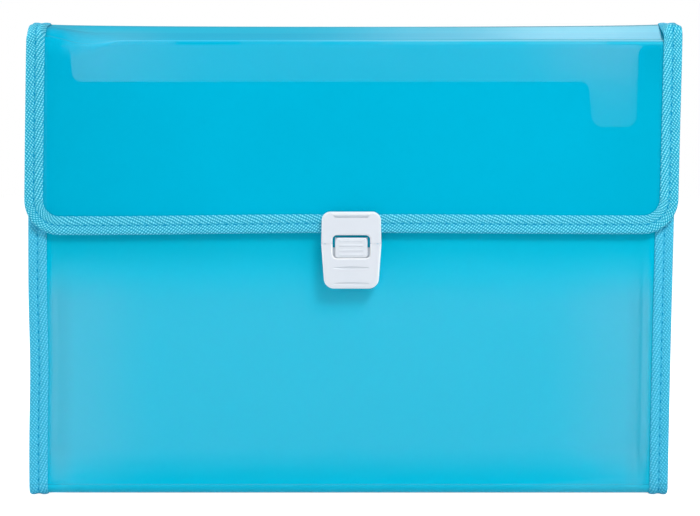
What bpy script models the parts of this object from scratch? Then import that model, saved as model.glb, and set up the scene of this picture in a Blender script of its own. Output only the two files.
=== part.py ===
"""Expanding file case with a translucent cover, woven edge binding and a snap clasp.

Lengths are in metres and +Z is up. The closed case stands on its bottom with the flap in front,
towards -Y, and the middle of its footprint is at the origin.
"""

import math

import bmesh
import bpy
from mathutils import Matrix, Vector

# Sheets, gusset film and binding tape
COVER_SHEET = 0.0008
DIVIDER_SHEET = 0.0004
GUSSET_FILM = 0.00035
TAPE_LEAF = 0.0006
TAPE_WIDTH = 0.0091
TAPE_FOLD_RADIUS = 0.0007

# Clearances
SEAT_GAP = 0.0003
CREASE_GAP = 0.0005
FLAP_GAP = 0.0008

# The whole case
CASE_HEIGHT = 0.243
CASE_WIDTH = 0.3325
BOTTOM_NARROWING = 0.0016
BOTTOM_BEND_RADIUS = 0.0050
TOP_BEND_RADIUS = 0.0030
TOP_DROP = 0.0078

# Flap
FLAP_OVERHANG = 0.00125
FLAP_LENGTH = 0.1088
FLAP_CORNER_RADIUS = 0.0180

# Cut-away top edge of the front panel, with its thumb notch
SHOULDER_DROP = 0.0010
SHOULDER_CORNER = 0.0030
SHOULDER_WIDTH = 0.0212
MOUTH_DEPTH = 0.0176
MOUTH_SLANT = 0.0018
MOUTH_CORNER = 0.0045
NOTCH_WIDTH = 0.0250
NOTCH_SLANT = 0.0023
NOTCH_DEPTH = 0.0230
NOTCH_TOP_CORNER = 0.0040
NOTCH_FOOT_CORNER = 0.0055

# Pockets, their dividers and the pleats of the gussets
POCKET_COUNT = 5
POCKET_CLEAR = 0.0058
DIVIDER_SETBACK = 0.0160
DIVIDER_RISE = 0.0012
DIVIDER_CORNER = 0.0040
TAB_WIDTH = 0.0420
TAB_HEIGHT = 0.0033
TAB_CORNER = 0.0020
TAB_PLACE_SHARES = (0.13, 0.38, 0.62, 0.87)
WELD_WIDTH = 0.0050
PLEAT_SETBACK = 0.0052
PLEAT_FOOT_SETBACK = 0.0092
PLEAT_TURN = 0.0011
PLEAT_FOLD_RADIUS = 0.0004
FILM_INSET = 0.0006
GUSSET_DROP = 0.0020

# Clasp, both halves
CLASP_DEPTH = 0.0042
CLASP_WALL = 0.0012
CLASP_EDGE_RADIUS = 0.0009
PARTING_GAP = 0.0003
PARTING_DROP = 0.0038
BOSS_RADIUS = 0.0024
RIVET_RADIUS = 0.0012
RIVET_HEAD_RADIUS = 0.0022
RIVET_GRIP = 0.0019

# Upper half of the clasp
CLASP_WIDTH = 0.0308
UPPER_RISE = 0.0125
UPPER_CORNER = 0.0036
UPPER_BOSS_SPREAD = 0.0200
UPPER_BOSS_RISE = 0.0060
UPPER_PLATE = 0.0006
UPPER_PLATE_WIDTH = 0.0270
UPPER_PLATE_HEIGHT = 0.0084
PLATE_CORNER = 0.0015
RECESS_WIDTH = 0.0184
RECESS_SLOPE = 0.0012
RECESS_HEIGHT = 0.0019
RECESS_DROP = 0.0007
RECESS_DEPTH = 0.0007
PRONG_WIDTH = 0.0030
PRONG_LENGTH = 0.0101
PRONG_SETBACK = 0.00035
PRONG_ROOT = 0.0033
PRONG_LEAD = 0.0010

# Lower half of the clasp
LOWER_LENGTH = 0.0231
FOOT_WIDTH = 0.0280
LOWER_CORNER = 0.0042
LOWER_BOSS_SPREAD = 0.0200
LOWER_BOSS_RISE = 0.0064
LOWER_PLATE = 0.0008
LOWER_PLATE_WIDTH = 0.0260
LOWER_PLATE_HEIGHT = 0.0090
BASE_PLATE = 0.0008
BASE_DROP = 0.0023
GROOVE_DROPS = (0.0108, 0.0190)
GROOVE_WIDTH = 0.0170
GROOVE_RADIUS = 0.0006
GROOVE_DEPTH = 0.0003

# Window and the push button in it
WINDOW_WIDTH = 0.0191
WINDOW_RISE = 0.0043
WINDOW_DROP = 0.0072
WINDOW_CORNER = 0.0022
BUTTON_SIDE_GAP = 0.00125
BUTTON_TOP_GAP = 0.0010
BUTTON_CORNER = 0.0016
BUTTON_SETBACK = 0.0003
BUTTON_EDGE_RADIUS = 0.0005
TONGUE_LEAF = 0.0012
TONGUE_ROOM = 0.0026
STEM_WIDTH = 0.0104
PIVOT_RADIUS = 0.0011
PIVOT_LENGTH = 0.0140
CRADLE_WIDTH = 0.0012
CRADLE_SETBACK = 0.0004
EAR_RISE = 0.0009
EAR_CATCH = 0.0010
RIB_COUNT = 4
RIB_PITCH = 0.00235
RIB_RADIUS = 0.0005
RIB_WIDTH = 0.0122

# One overrun serves all cuts, and one overlap all joins
OVERRUN = 0.0010
OVERLAP = 0.0003

ARC_STEPS = 6
FOLD_STEPS = 3
ROUND_STEPS = 20
SHARP_ANGLE = math.radians(35)
RIGHT, LEFT = 1, -1

# Widths worked out from the sizes above
flap_half = CASE_WIDTH / 2 + FLAP_OVERHANG
divider_half = CASE_WIDTH / 2 - DIVIDER_SETBACK
mouth_half = CASE_WIDTH / 2 - SHOULDER_WIDTH
pleat_reach = CASE_WIDTH / 2 - PLEAT_SETBACK
pleat_foot_reach = CASE_WIDTH / 2 - PLEAT_FOOT_SETBACK

# Heights worked out from the sizes above
tape_stand = SEAT_GAP + TAPE_LEAF
sheet_half = COVER_SHEET / 2
film_room = GUSSET_FILM + SEAT_GAP
bottom_level = tape_stand + sheet_half
bottom_arc = BOTTOM_BEND_RADIUS - sheet_half
top_arc = TOP_BEND_RADIUS - sheet_half
bottom_crease_z = bottom_level + bottom_arc
panel_foot_z = bottom_crease_z + CREASE_GAP
back_crease_z = CASE_HEIGHT - tape_stand - sheet_half - top_arc
flap_crease_z = back_crease_z - TOP_DROP
shoulder_z = flap_crease_z - SHOULDER_DROP
mouth_z = shoulder_z - MOUTH_DEPTH
flap_edge_z = CASE_HEIGHT - FLAP_LENGTH
divider_foot_z = bottom_level + sheet_half + SEAT_GAP

# Places from front to back, counted from the front panel's outer face and then moved so that the
# clasp and the back binding lie equally far from the origin
pocket_pitch = POCKET_CLEAR + DIVIDER_SHEET
cover_depth = POCKET_COUNT * pocket_pitch - DIVIDER_SHEET + 2 * COVER_SHEET
flap_inner_stand = 2 * tape_stand + FLAP_GAP
flap_outer_stand = flap_inner_stand + COVER_SHEET
flap_tape_stand = flap_outer_stand + tape_stand
upper_rim_stand = flap_tape_stand + SEAT_GAP
clasp_stand = upper_rim_stand + CLASP_DEPTH
front_y = (clasp_stand - cover_depth - tape_stand) / 2
front_mid_y = front_y + sheet_half
back_y = front_y + cover_depth
back_mid_y = back_y - sheet_half
flap_mid_y = front_y - flap_inner_stand - sheet_half

# Clasp places, from the flap's edge and from the front panel
parting_z = flap_edge_z - PARTING_DROP
clasp_top_z = flap_edge_z + UPPER_RISE
upper_foot_z = parting_z + PARTING_GAP / 2
lower_top_z = parting_z - PARTING_GAP / 2
clasp_foot_z = lower_top_z - LOWER_LENGTH
window_top_z = parting_z + WINDOW_RISE
window_foot_z = parting_z - WINDOW_DROP
upper_boss_z = flap_edge_z + UPPER_BOSS_RISE
lower_boss_z = clasp_foot_z + LOWER_BOSS_RISE
clasp_front_y = front_y - clasp_stand
clasp_wall_y = clasp_front_y + CLASP_WALL
upper_rim_y = front_y - upper_rim_stand
lower_rim_y = front_y - SEAT_GAP
base_front_y = lower_rim_y - BASE_PLATE
base_top_z = parting_z - BASE_DROP
tongue_back_y = base_front_y - TONGUE_ROOM
tongue_front_y = tongue_back_y - TONGUE_LEAF
pivot_y = (tongue_back_y + tongue_front_y) / 2
pivot_z = clasp_foot_z + CLASP_WALL + SEAT_GAP + PIVOT_RADIUS
prong_inner_x = WINDOW_WIDTH / 2 + PRONG_SETBACK
button_half = WINDOW_WIDTH / 2 - BUTTON_SIDE_GAP
ear_foot_z = window_foot_z + EAR_RISE
ear_top_z = base_top_z - SEAT_GAP
upper_plate_back_y = front_y - tape_stand - FLAP_GAP + SEAT_GAP + UPPER_PLATE
lower_plate_back_y = front_y + COVER_SHEET + SEAT_GAP + LOWER_PLATE

# Hinge lines, each on the outside of its crease
fan_axis = Vector((0, front_y - tape_stand, bottom_crease_z + CREASE_GAP / 2))
lid_axis = Vector((0, back_y + tape_stand, back_crease_z - CREASE_GAP / 2))
flap_axis = Vector((0, front_y - flap_tape_stand, flap_crease_z - CREASE_GAP / 2))
button_axis = Vector((0, pivot_y, pivot_z))

COVER_BLUE = (0.004, 0.474, 0.730)
FROSTED = (0.72, 0.86, 0.90)
FILM_BLUE = (0.16, 0.58, 0.78)
TAPE_BLUE = (0.10, 0.53, 0.76)
CLASP_WHITE = (0.76, 0.79, 0.83)


def clear_scene():
    for old in list(bpy.data.objects):
        bpy.data.objects.remove(old)


def make_material(name, colour, roughness, alpha=1.0):
    material = bpy.data.materials.new(name)
    material.use_nodes = True
    shader = material.node_tree.nodes["Principled BSDF"]
    shader.inputs["Base Color"].default_value = (*colour, 1)
    shader.inputs["Roughness"].default_value = roughness
    shader.inputs["Metallic"].default_value = 0
    shader.inputs["Alpha"].default_value = alpha
    material.diffuse_color = (*colour, alpha)
    return material


def add_pivot(name, place, parent=None):
    """An empty on a joint's axis. What moves on the joint is parented to it."""
    pivot = bpy.data.objects.new(name, None)
    bpy.context.scene.collection.objects.link(pivot)
    pivot.empty_display_size = TAPE_WIDTH
    pivot.parent = parent
    pivot.location = place - (parent.matrix_world.translation if parent else Vector())
    bpy.context.view_layer.update()
    return pivot


def add_piece(name, shape, material, pivot=None):
    """Makes an object from a shape modelled in place, with its origin on the pivot."""
    origin = pivot.matrix_world.translation if pivot else Vector()
    bmesh.ops.recalc_face_normals(shape, faces=shape.faces)
    mesh = bpy.data.meshes.new(name)
    shape.to_mesh(mesh)
    shape.free()
    mesh.transform(Matrix.Translation(-origin))
    mesh.materials.append(material)
    mesh.shade_smooth()
    mesh.set_sharp_from_angle(angle=SHARP_ANGLE)
    piece = bpy.data.objects.new(name, mesh)
    bpy.context.scene.collection.objects.link(piece)
    piece.parent = pivot
    return piece


def add_tool(name, shape):
    """A shape that only cuts or joins another, so it is left out of the model."""
    bmesh.ops.recalc_face_normals(shape, faces=shape.faces)
    mesh = bpy.data.meshes.new(name)
    shape.to_mesh(mesh)
    shape.free()
    tool = bpy.data.objects.new(name, mesh)
    bpy.context.scene.collection.objects.link(tool)
    tool.hide_render = True
    tool.display_type = "WIRE"
    return tool


def apply_tool(piece, tool, operation):
    boolean = piece.modifiers.new(tool.name, "BOOLEAN")
    boolean.operation = operation
    boolean.solver = "EXACT"
    boolean.object = tool


def arc(centre, radius, start, end, steps=ARC_STEPS):
    """Points on a circle, from one angle to another, in degrees."""
    angles = [math.radians(start + (end - start) * step / steps) for step in range(steps + 1)]
    return [(centre[0] + radius * math.cos(a), centre[1] + radius * math.sin(a)) for a in angles]


def rounded(corners, closed=True, steps=ARC_STEPS):
    """Rounds the corners (x, z, radius) of an outline, or of an open line, with arcs."""
    points = []
    for index, (x, z, radius) in enumerate(corners):
        here = Vector((x, z))
        at_end = not closed and index in (0, len(corners) - 1)
        if at_end or radius == 0:
            points.append(here)
            continue
        before = Vector(corners[index - 1][:2]) - here
        after = Vector(corners[(index + 1) % len(corners)][:2]) - here
        half = before.angle(after) / 2
        reach = min(radius / math.tan(half), before.length / 2, after.length / 2)
        middle = here + (before.normalized() + after.normalized()).normalized() * reach / math.cos(half)
        spoke = here + before.normalized() * reach - middle
        turn = (math.pi - 2 * half) * (1 if before.cross(after) < 0 else -1)
        for step in range(steps + 1):
            points.append(middle + Matrix.Rotation(turn * step / steps, 2) @ spoke)
    return [(p[0], p[1]) for p in points]


def inset(outline, distance):
    """Moves each side of a convex, anticlockwise outline inwards."""
    points = [Vector(p) for p in outline]
    moved = []
    for index, here in enumerate(points):
        before = (here - points[index - 1]).normalized()
        after = (points[(index + 1) % len(points)] - here).normalized()
        inwards = (Vector((-before.y, before.x)) + Vector((-after.y, after.x))).normalized()
        moved.append(here + inwards * distance / inwards.dot(Vector((-before.y, before.x))))
    return [(p.x, p.y) for p in moved]


def loft(sections):
    """A closed solid through sections that have the same number of points."""
    shape = bmesh.new()
    rings = [[shape.verts.new(point) for point in section] for section in sections]
    for ring, following in zip(rings, rings[1:]):
        for index, vertex in enumerate(ring):
            shape.faces.new((ring[index - 1], vertex, following[index], following[index - 1]))
    shape.faces.new(rings[0])
    shape.faces.new(rings[-1])
    return shape


def plate(outline, first_y, last_y, edge_radius=0):
    """An outline (x, z) given a thickness along Y, with its edge at first_y rounded if asked."""
    shape = bmesh.new()
    face = shape.faces.new([shape.verts.new((x, first_y, z)) for x, z in outline])
    extruded = bmesh.ops.extrude_face_region(shape, geom=[face], use_keep_orig=True)
    moved = [part for part in extruded["geom"] if isinstance(part, bmesh.types.BMVert)]
    bmesh.ops.translate(shape, verts=moved, vec=(0, last_y - first_y, 0))
    if edge_radius:
        edges = list(face.edges)
        bmesh.ops.bevel(
            shape, geom=edges, offset=edge_radius, segments=FOLD_STEPS, profile=0.5, affect="EDGES"
        )
    return shape


def rectangle(left, right, foot, top, radius=0, steps=ARC_STEPS):
    corners = [(left, foot, radius), (right, foot, radius), (right, top, radius), (left, top, radius)]
    return rounded(corners, steps=steps)


def box(left, right, first_y, last_y, foot, top):
    return plate(rectangle(left, right, foot, top), first_y, last_y)


def turned(profile, place, across="Y", steps=ROUND_STEPS):
    """A round solid from (radius, distance) pairs, along Y or X, about an axis through place."""
    sections = []
    for radius, distance in profile:
        ring = []
        for step in range(steps):
            angle = 2 * math.pi * step / steps
            side, up = radius * math.cos(angle), radius * math.sin(angle)
            offset = (side, distance, up) if across == "Y" else (distance, side, up)
            ring.append(Vector(place) + Vector(offset))
        sections.append(ring)
    return loft(sections)


def joined(shapes):
    """Several separate closed shapes in one, for a tool."""
    whole = bmesh.new()
    for shape in shapes:
        mesh = bpy.data.meshes.new("part_of_tool")
        shape.to_mesh(mesh)
        shape.free()
        whole.from_mesh(mesh)
        bpy.data.meshes.remove(mesh)
    return whole


def case_half(z):
    """Half the width over the body's tapes at a height: a little narrower at the bottom."""
    return CASE_WIDTH / 2 - BOTTOM_NARROWING * (1 - z / CASE_HEIGHT)


def back_half(z):
    """Half the width over the back's tapes: as wide as the flap at the top crease."""
    rise = (z - bottom_crease_z) / (back_crease_z - bottom_crease_z)
    return case_half(bottom_crease_z) * (1 - rise) + flap_half * rise


def bottom_line():
    """Middle of the bottom sheet as (y, z, outward angle), from the front crease to the back one."""
    front = (front_mid_y + bottom_arc, bottom_crease_z)
    back = (back_mid_y - bottom_arc, bottom_crease_z)
    stations = []
    for centre, start in ((front, 180), (back, 270)):
        for step, (y, z) in enumerate(arc(centre, bottom_arc, start, start + 90)):
            stations.append((y, z, math.radians(start + 90 * step / ARC_STEPS)))
    return stations


def top_line():
    """Middle of the top sheet as (y, z, outward angle), from the flap's crease to the back one."""
    front = (flap_mid_y + top_arc, flap_crease_z)
    back = (back_mid_y - top_arc, back_crease_z)
    slope = math.degrees(math.atan2(back[1] - front[1], back[0] - front[0]))
    stations = []
    for centre, start, end in ((front, 180, 90 + slope), (back, 90 + slope, 0)):
        for step, (y, z) in enumerate(arc(centre, top_arc, start, end)):
            stations.append((y, z, math.radians(start + (end - start) * step / ARC_STEPS)))
    return stations


def wrapped_sheet(line, half_at):
    """A cover sheet that follows a line of (y, z, outward angle), with a half width at each height."""
    sections = []
    for y, z, angle in line:
        half = half_at(z) - tape_stand
        out_y, out_z = sheet_half * math.cos(angle), sheet_half * math.sin(angle)
        ends = [(-half, 1), (half, 1), (half, -1), (-half, -1)]
        sections.append([(x, y + way * out_y, z + way * out_z) for x, way in ends])
    return loft(sections)


def tape_section(back_room=0):
    """The folded tape's outline as (reach past the sheet's edge, distance out from its middle)."""
    outer = sheet_half + tape_stand
    inner = -outer - back_room
    tip = tape_stand
    reach = tip - TAPE_WIDTH
    upper = arc((tip - TAPE_FOLD_RADIUS, outer - TAPE_FOLD_RADIUS), TAPE_FOLD_RADIUS, 90, 0, FOLD_STEPS)
    lower = arc((tip - TAPE_FOLD_RADIUS, inner + TAPE_FOLD_RADIUS), TAPE_FOLD_RADIUS, 0, -90, FOLD_STEPS)
    inside = [(reach, inner + TAPE_LEAF), (SEAT_GAP, inner + TAPE_LEAF)]
    outside = [(SEAT_GAP, outer - TAPE_LEAF), (reach, outer - TAPE_LEAF)]
    return [(reach, outer), *upper, *lower, (reach, inner), *inside, *outside]


def wrapped_tape(line, half_at, side, back_room=0):
    """Tape folded round the side edge of a sheet that follows a line of (y, z, outward angle)."""
    sections = []
    for y, z, angle in line:
        edge = half_at(z) - tape_stand
        section = []
        for reach, out in tape_section(back_room):
            section.append((side * (edge + reach), y + out * math.cos(angle), z + out * math.sin(angle)))
        sections.append(section)
    return loft(sections)


def flap_edge_line():
    """The flap sheet's free edge as (x, z, outward angle), down the left side and up the right."""
    half = flap_half - tape_stand
    foot = flap_edge_z + tape_stand
    radius = FLAP_CORNER_RADIUS - tape_stand
    top = flap_crease_z - CREASE_GAP
    line = [(-half, top, math.pi)]
    for x, start in ((radius - half, 180), (half - radius, 270)):
        for step, (edge_x, edge_z) in enumerate(arc((x, foot + radius), radius, start, start + 90)):
            line.append((edge_x, edge_z, math.radians(start + 90 * step / ARC_STEPS)))
    line.append((half, top, 0))
    return line


def flap_tape():
    """Tape folded round the flap's free edge, turning with its round corners."""
    sections = []
    for x, z, angle in flap_edge_line():
        section = []
        for reach, out in tape_section():
            place = (x + reach * math.cos(angle), flap_mid_y - out, z + reach * math.sin(angle))
            section.append(place)
        sections.append(section)
    return loft(sections)


def front_outline():
    """The front panel seen from the front: two shoulders, the cut-away mouth and the thumb notch."""
    foot_half = case_half(panel_foot_z) - tape_stand
    top_half = case_half(shoulder_z) - tape_stand
    notch_z = mouth_z - NOTCH_DEPTH
    notch_left = mouth_half - NOTCH_WIDTH
    return rounded(
        [
            (-foot_half, panel_foot_z, 0),
            (foot_half, panel_foot_z, 0),
            (top_half, shoulder_z, SHOULDER_CORNER),
            (mouth_half, shoulder_z, SHOULDER_CORNER),
            (mouth_half, notch_z, NOTCH_FOOT_CORNER),
            (notch_left + NOTCH_SLANT, notch_z, NOTCH_FOOT_CORNER),
            (notch_left, mouth_z, NOTCH_TOP_CORNER),
            (MOUTH_SLANT - mouth_half, mouth_z, MOUTH_CORNER),
            (-mouth_half, shoulder_z, SHOULDER_CORNER),
            (-top_half, shoulder_z, SHOULDER_CORNER),
        ]
    )


def divider_front_y(number):
    """Front face of a divider; divider 1 is next to the front panel."""
    return front_y + COVER_SHEET + number * POCKET_CLEAR + (number - 1) * DIVIDER_SHEET


def divider_outline(tab_share):
    half = divider_half
    top = shoulder_z + DIVIDER_RISE
    middle = half * (2 * tab_share - 1)
    return rounded(
        [
            (-half, divider_foot_z, 0),
            (half, divider_foot_z, 0),
            (half, top, DIVIDER_CORNER),
            (middle + TAB_WIDTH / 2, top, 0),
            (middle + TAB_WIDTH / 2, top + TAB_HEIGHT, TAB_CORNER),
            (middle - TAB_WIDTH / 2, top + TAB_HEIGHT, TAB_CORNER),
            (middle - TAB_WIDTH / 2, top, 0),
            (-half, top, DIVIDER_CORNER),
        ]
    )


def pleat_line(number, reach):
    """Middle of one pleat's film as (x, y, radius) on the right side, from its front end to its back.

    A pleat is welded along the divider on either side of it. At the first and last pocket the film
    lies along the cover instead, out under the binding, and turns back.
    """
    weld_x = divider_half
    film_mid = SEAT_GAP + GUSSET_FILM / 2
    flange_x = case_half(panel_foot_z) - tape_stand - FILM_INSET
    front = divider_front_y(number) - POCKET_CLEAR + film_mid
    back = divider_front_y(number) - film_mid
    start = [(weld_x - WELD_WIDTH, front, 0), (weld_x, front, PLEAT_FOLD_RADIUS)]
    end = [(weld_x, back, PLEAT_FOLD_RADIUS), (weld_x - WELD_WIDTH, back, 0)]
    middle = (front + back) / 2
    if number == 1:
        turn = front + PLEAT_TURN
        start = [(flange_x, front, 0), (weld_x, front, PLEAT_FOLD_RADIUS), (weld_x, turn, PLEAT_FOLD_RADIUS)]
        middle = (turn + back) / 2
    if number == POCKET_COUNT:
        turn = back - PLEAT_TURN
        end = [(weld_x, turn, PLEAT_FOLD_RADIUS), (weld_x, back, PLEAT_FOLD_RADIUS), (flange_x, back, 0)]
        middle = (front + turn) / 2
    tip = [
        (reach, middle - PLEAT_TURN / 2, PLEAT_FOLD_RADIUS),
        (reach, middle + PLEAT_TURN / 2, PLEAT_FOLD_RADIUS),
    ]
    return [*start, *tip, *end]


def film_outline(line):
    """Both faces of a film that follows a line of (x, y, radius), as one closed outline."""
    points = [Vector(p) for p in rounded(line, closed=False, steps=FOLD_STEPS)]
    near, far = [], []
    for index, here in enumerate(points):
        before = (here - points[max(index - 1, 0)]).normalized()
        after = (points[min(index + 1, len(points) - 1)] - here).normalized()
        along = (before + after).normalized()
        side = Vector((-along.y, along.x)) * GUSSET_FILM / 2
        side /= max(abs(along.dot(after if index == 0 else before)), 0.5)
        near.append(here + side)
        far.append(here - side)
    return near + far[::-1]


def pleat(number, side):
    """One pleat of a gusset. Its outer fold reaches further out at the top than at the foot."""
    sections = []
    levels = ((panel_foot_z + CREASE_GAP, pleat_foot_reach), (shoulder_z - GUSSET_DROP, pleat_reach))
    for z, reach in levels:
        outline = film_outline(pleat_line(number, reach))
        sections.append([(side * point.x, point.y, z) for point in outline])
    return loft(sections)


def rivet(place_x, place_z, head_y, head_depth, tip_y):
    """A plastic rivet along Y, its countersunk head flush with the face at head_y."""
    tip_round = RIVET_RADIUS / 2
    profile = [
        (RIVET_HEAD_RADIUS, 0),
        (RIVET_RADIUS, -head_depth),
        (RIVET_RADIUS, tip_y + tip_round - head_y),
        (RIVET_RADIUS - tip_round, tip_y - head_y),
    ]
    return turned(profile, (place_x, head_y, place_z))


def rivet_hole(place_x, place_z, head_y, head_depth, end_y):
    """The clearance hole of a rivet, with its countersink at head_y and its end at end_y."""
    wide, narrow = RIVET_HEAD_RADIUS + SEAT_GAP, RIVET_RADIUS + SEAT_GAP
    profile = [(wide, OVERRUN), (wide, 0), (narrow, -head_depth), (narrow, end_y - head_y)]
    return turned(profile, (place_x, head_y, place_z))


def backing_plate(width, foot, top, first_y, last_y):
    outline = rectangle(-width / 2, width / 2, foot, top, PLATE_CORNER, FOLD_STEPS)
    return plate(outline, first_y, last_y)


def upper_outline():
    half = CLASP_WIDTH / 2
    return rounded(
        [
            (-half, upper_foot_z, 0),
            (half, upper_foot_z, 0),
            (half, clasp_top_z, UPPER_CORNER),
            (-half, clasp_top_z, UPPER_CORNER),
        ]
    )


def lower_outline(top_z=lower_top_z):
    """The lower half's outline, tapering towards the foot. Its top can be carried further up."""
    half, foot_half = CLASP_WIDTH / 2, FOOT_WIDTH / 2
    half += (half - foot_half) * (top_z - lower_top_z) / LOWER_LENGTH
    return rounded(
        [
            (-foot_half, clasp_foot_z, LOWER_CORNER),
            (foot_half, clasp_foot_z, LOWER_CORNER),
            (half, top_z, 0),
            (-half, top_z, 0),
        ]
    )


def window_outline():
    half = WINDOW_WIDTH / 2
    return rectangle(-half, half, window_foot_z, window_top_z, WINDOW_CORNER)


def thumb_recess():
    """A shallow recess with sloping ends, just under the clasp's top edge."""
    half = RECESS_WIDTH / 2
    top = clasp_top_z - RECESS_DROP
    foot = top - RECESS_HEIGHT
    outline = [(RECESS_SLOPE - half, foot), (half - RECESS_SLOPE, foot), (half, top), (-half, top)]
    return plate(outline, clasp_front_y - OVERRUN, clasp_front_y + RECESS_DEPTH)


def prong_outline(side):
    """A catch prong: down past the window, with a notch for the button's ear above its tooth."""
    inner, outer = prong_inner_x, prong_inner_x + PRONG_WIDTH
    notch = inner + EAR_CATCH + SEAT_GAP
    tip = parting_z - PRONG_LENGTH
    root = upper_foot_z + CLASP_WALL / 2
    points = [
        (inner + PRONG_LEAD, tip),
        (outer, tip),
        (outer, root),
        (inner, root),
        (inner, ear_top_z + SEAT_GAP),
        (notch, ear_top_z + SEAT_GAP),
        (notch, ear_foot_z - SEAT_GAP),
        (inner, ear_foot_z - SEAT_GAP),
        (inner, tip + PRONG_LEAD),
    ]
    return [(side * x, z) for x, z in points]


def make_upper_shell(material, pivot, bores, window):
    shell = add_piece(
        "clasp_upper_shell", plate(upper_outline(), clasp_front_y, upper_rim_y, CLASP_EDGE_RADIUS), material, pivot
    )
    cavity = plate(inset(upper_outline(), CLASP_WALL), clasp_wall_y, upper_rim_y + OVERRUN)
    apply_tool(shell, add_tool("upper_cavity", cavity), "DIFFERENCE")
    mouth_ends = (clasp_wall_y, upper_rim_y + OVERRUN, upper_foot_z - OVERRUN, window_top_z)
    mouth = box(-prong_inner_x, prong_inner_x, *mouth_ends)
    apply_tool(shell, add_tool("tongue_mouth", mouth), "DIFFERENCE")
    added = []
    for side in (LEFT, RIGHT):
        place = (side * UPPER_BOSS_SPREAD / 2, clasp_wall_y, upper_boss_z)
        added.append(turned([(BOSS_RADIUS, -OVERLAP), (BOSS_RADIUS, upper_rim_y - clasp_wall_y)], place))
        inner, outer = sorted((side * prong_inner_x, side * (prong_inner_x + PRONG_WIDTH)))
        root_foot, root_top = upper_foot_z + CLASP_WALL / 2 - OVERLAP, upper_foot_z + PRONG_ROOT
        added.append(box(inner, outer, clasp_wall_y - OVERLAP, tongue_back_y, root_foot, root_top))
    apply_tool(shell, add_tool("upper_bosses", joined(added)), "UNION")
    prongs = [plate(prong_outline(side), tongue_front_y, tongue_back_y) for side in (LEFT, RIGHT)]
    apply_tool(shell, add_tool("catch_prongs", joined(prongs)), "UNION")
    apply_tool(shell, bores, "DIFFERENCE")
    apply_tool(shell, window, "DIFFERENCE")
    apply_tool(shell, add_tool("thumb_recess", thumb_recess()), "DIFFERENCE")
    return shell


def make_lower_shell(material, pivot, bores, window):
    shell = add_piece(
        "clasp_lower_shell", plate(lower_outline(), clasp_front_y, lower_rim_y, CLASP_EDGE_RADIUS), material, pivot
    )
    open_top = inset(lower_outline(lower_top_z + CLASP_WALL + OVERRUN), CLASP_WALL)
    cavity = plate(open_top, clasp_wall_y, lower_rim_y + OVERRUN)
    apply_tool(shell, add_tool("lower_cavity", cavity), "DIFFERENCE")
    added = []
    for side in (LEFT, RIGHT):
        place = (side * LOWER_BOSS_SPREAD / 2, clasp_wall_y, lower_boss_z)
        depth = base_front_y - SEAT_GAP - clasp_wall_y
        added.append(turned([(BOSS_RADIUS, -OVERLAP), (BOSS_RADIUS, depth)], place))
        inner, outer = cradle_sides(side)
        foot, top = clasp_foot_z + CLASP_WALL - OVERLAP, pivot_z + PIVOT_RADIUS + CRADLE_SETBACK
        added.append(box(inner, outer, clasp_wall_y - OVERLAP, pivot_y - SEAT_GAP / 2, foot, top))
    apply_tool(shell, add_tool("lower_bosses", joined(added)), "UNION")
    apply_tool(shell, bores, "DIFFERENCE")
    apply_tool(shell, window, "DIFFERENCE")
    grooves = []
    for drop in GROOVE_DROPS:
        place = (0, clasp_front_y - GROOVE_RADIUS + GROOVE_DEPTH, parting_z - drop)
        ends = [(GROOVE_RADIUS, -GROOVE_WIDTH / 2), (GROOVE_RADIUS, GROOVE_WIDTH / 2)]
        grooves.append(turned(ends, place, "X"))
    apply_tool(shell, add_tool("grip_grooves", joined(grooves)), "DIFFERENCE")
    return shell


def cradle_sides(side):
    """The two sides, along X, of a rib that carries one end of the button's pivot bar."""
    inner = STEM_WIDTH / 2 + CRADLE_SETBACK
    return sorted((side * inner, side * (inner + CRADLE_WIDTH)))


def pivot_seat():
    """Clears the cradle ribs round the pivot bar."""
    radius = PIVOT_RADIUS + SEAT_GAP
    half = PIVOT_LENGTH / 2 + OVERRUN
    return turned([(radius, -half), (radius, half)], (0, pivot_y, pivot_z), "X")


def make_lower_base(material, pivot, holes):
    """The floor of the lower half. It carries the button's pivot bar from behind."""
    edge = CLASP_WALL + SEAT_GAP
    floor = inset(lower_outline(base_top_z + edge), edge)
    base = add_piece("clasp_lower_base", plate(floor, base_front_y, lower_rim_y), material, pivot)
    ribs = []
    for side in (LEFT, RIGHT):
        inner, outer = cradle_sides(side)
        foot, top = min(z for x, z in floor), pivot_z + PIVOT_RADIUS + CRADLE_SETBACK
        ribs.append(box(inner, outer, pivot_y + SEAT_GAP / 2, base_front_y + OVERLAP, foot, top))
    apply_tool(base, add_tool("rear_cradles", joined(ribs)), "UNION")
    apply_tool(base, holes, "DIFFERENCE")
    return base


def tongue_outline():
    """The button's leaf: a stem from the pivot bar, the pad's back and an ear on either side."""
    stem, pad, ear = STEM_WIDTH / 2, button_half, prong_inner_x + EAR_CATCH
    pad_foot, pad_top = window_foot_z, window_top_z - BUTTON_TOP_GAP
    right = [
        (stem, pivot_z, 0),
        (stem, pad_foot, 0),
        (pad, pad_foot, 0),
        (pad, ear_foot_z, 0),
        (ear, ear_foot_z, 0),
        (ear, ear_top_z, 0),
        (pad, ear_top_z, 0),
        (pad, pad_top, BUTTON_CORNER),
    ]
    return rounded(right + [(-x, z, radius) for x, z, radius in reversed(right)])


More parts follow.
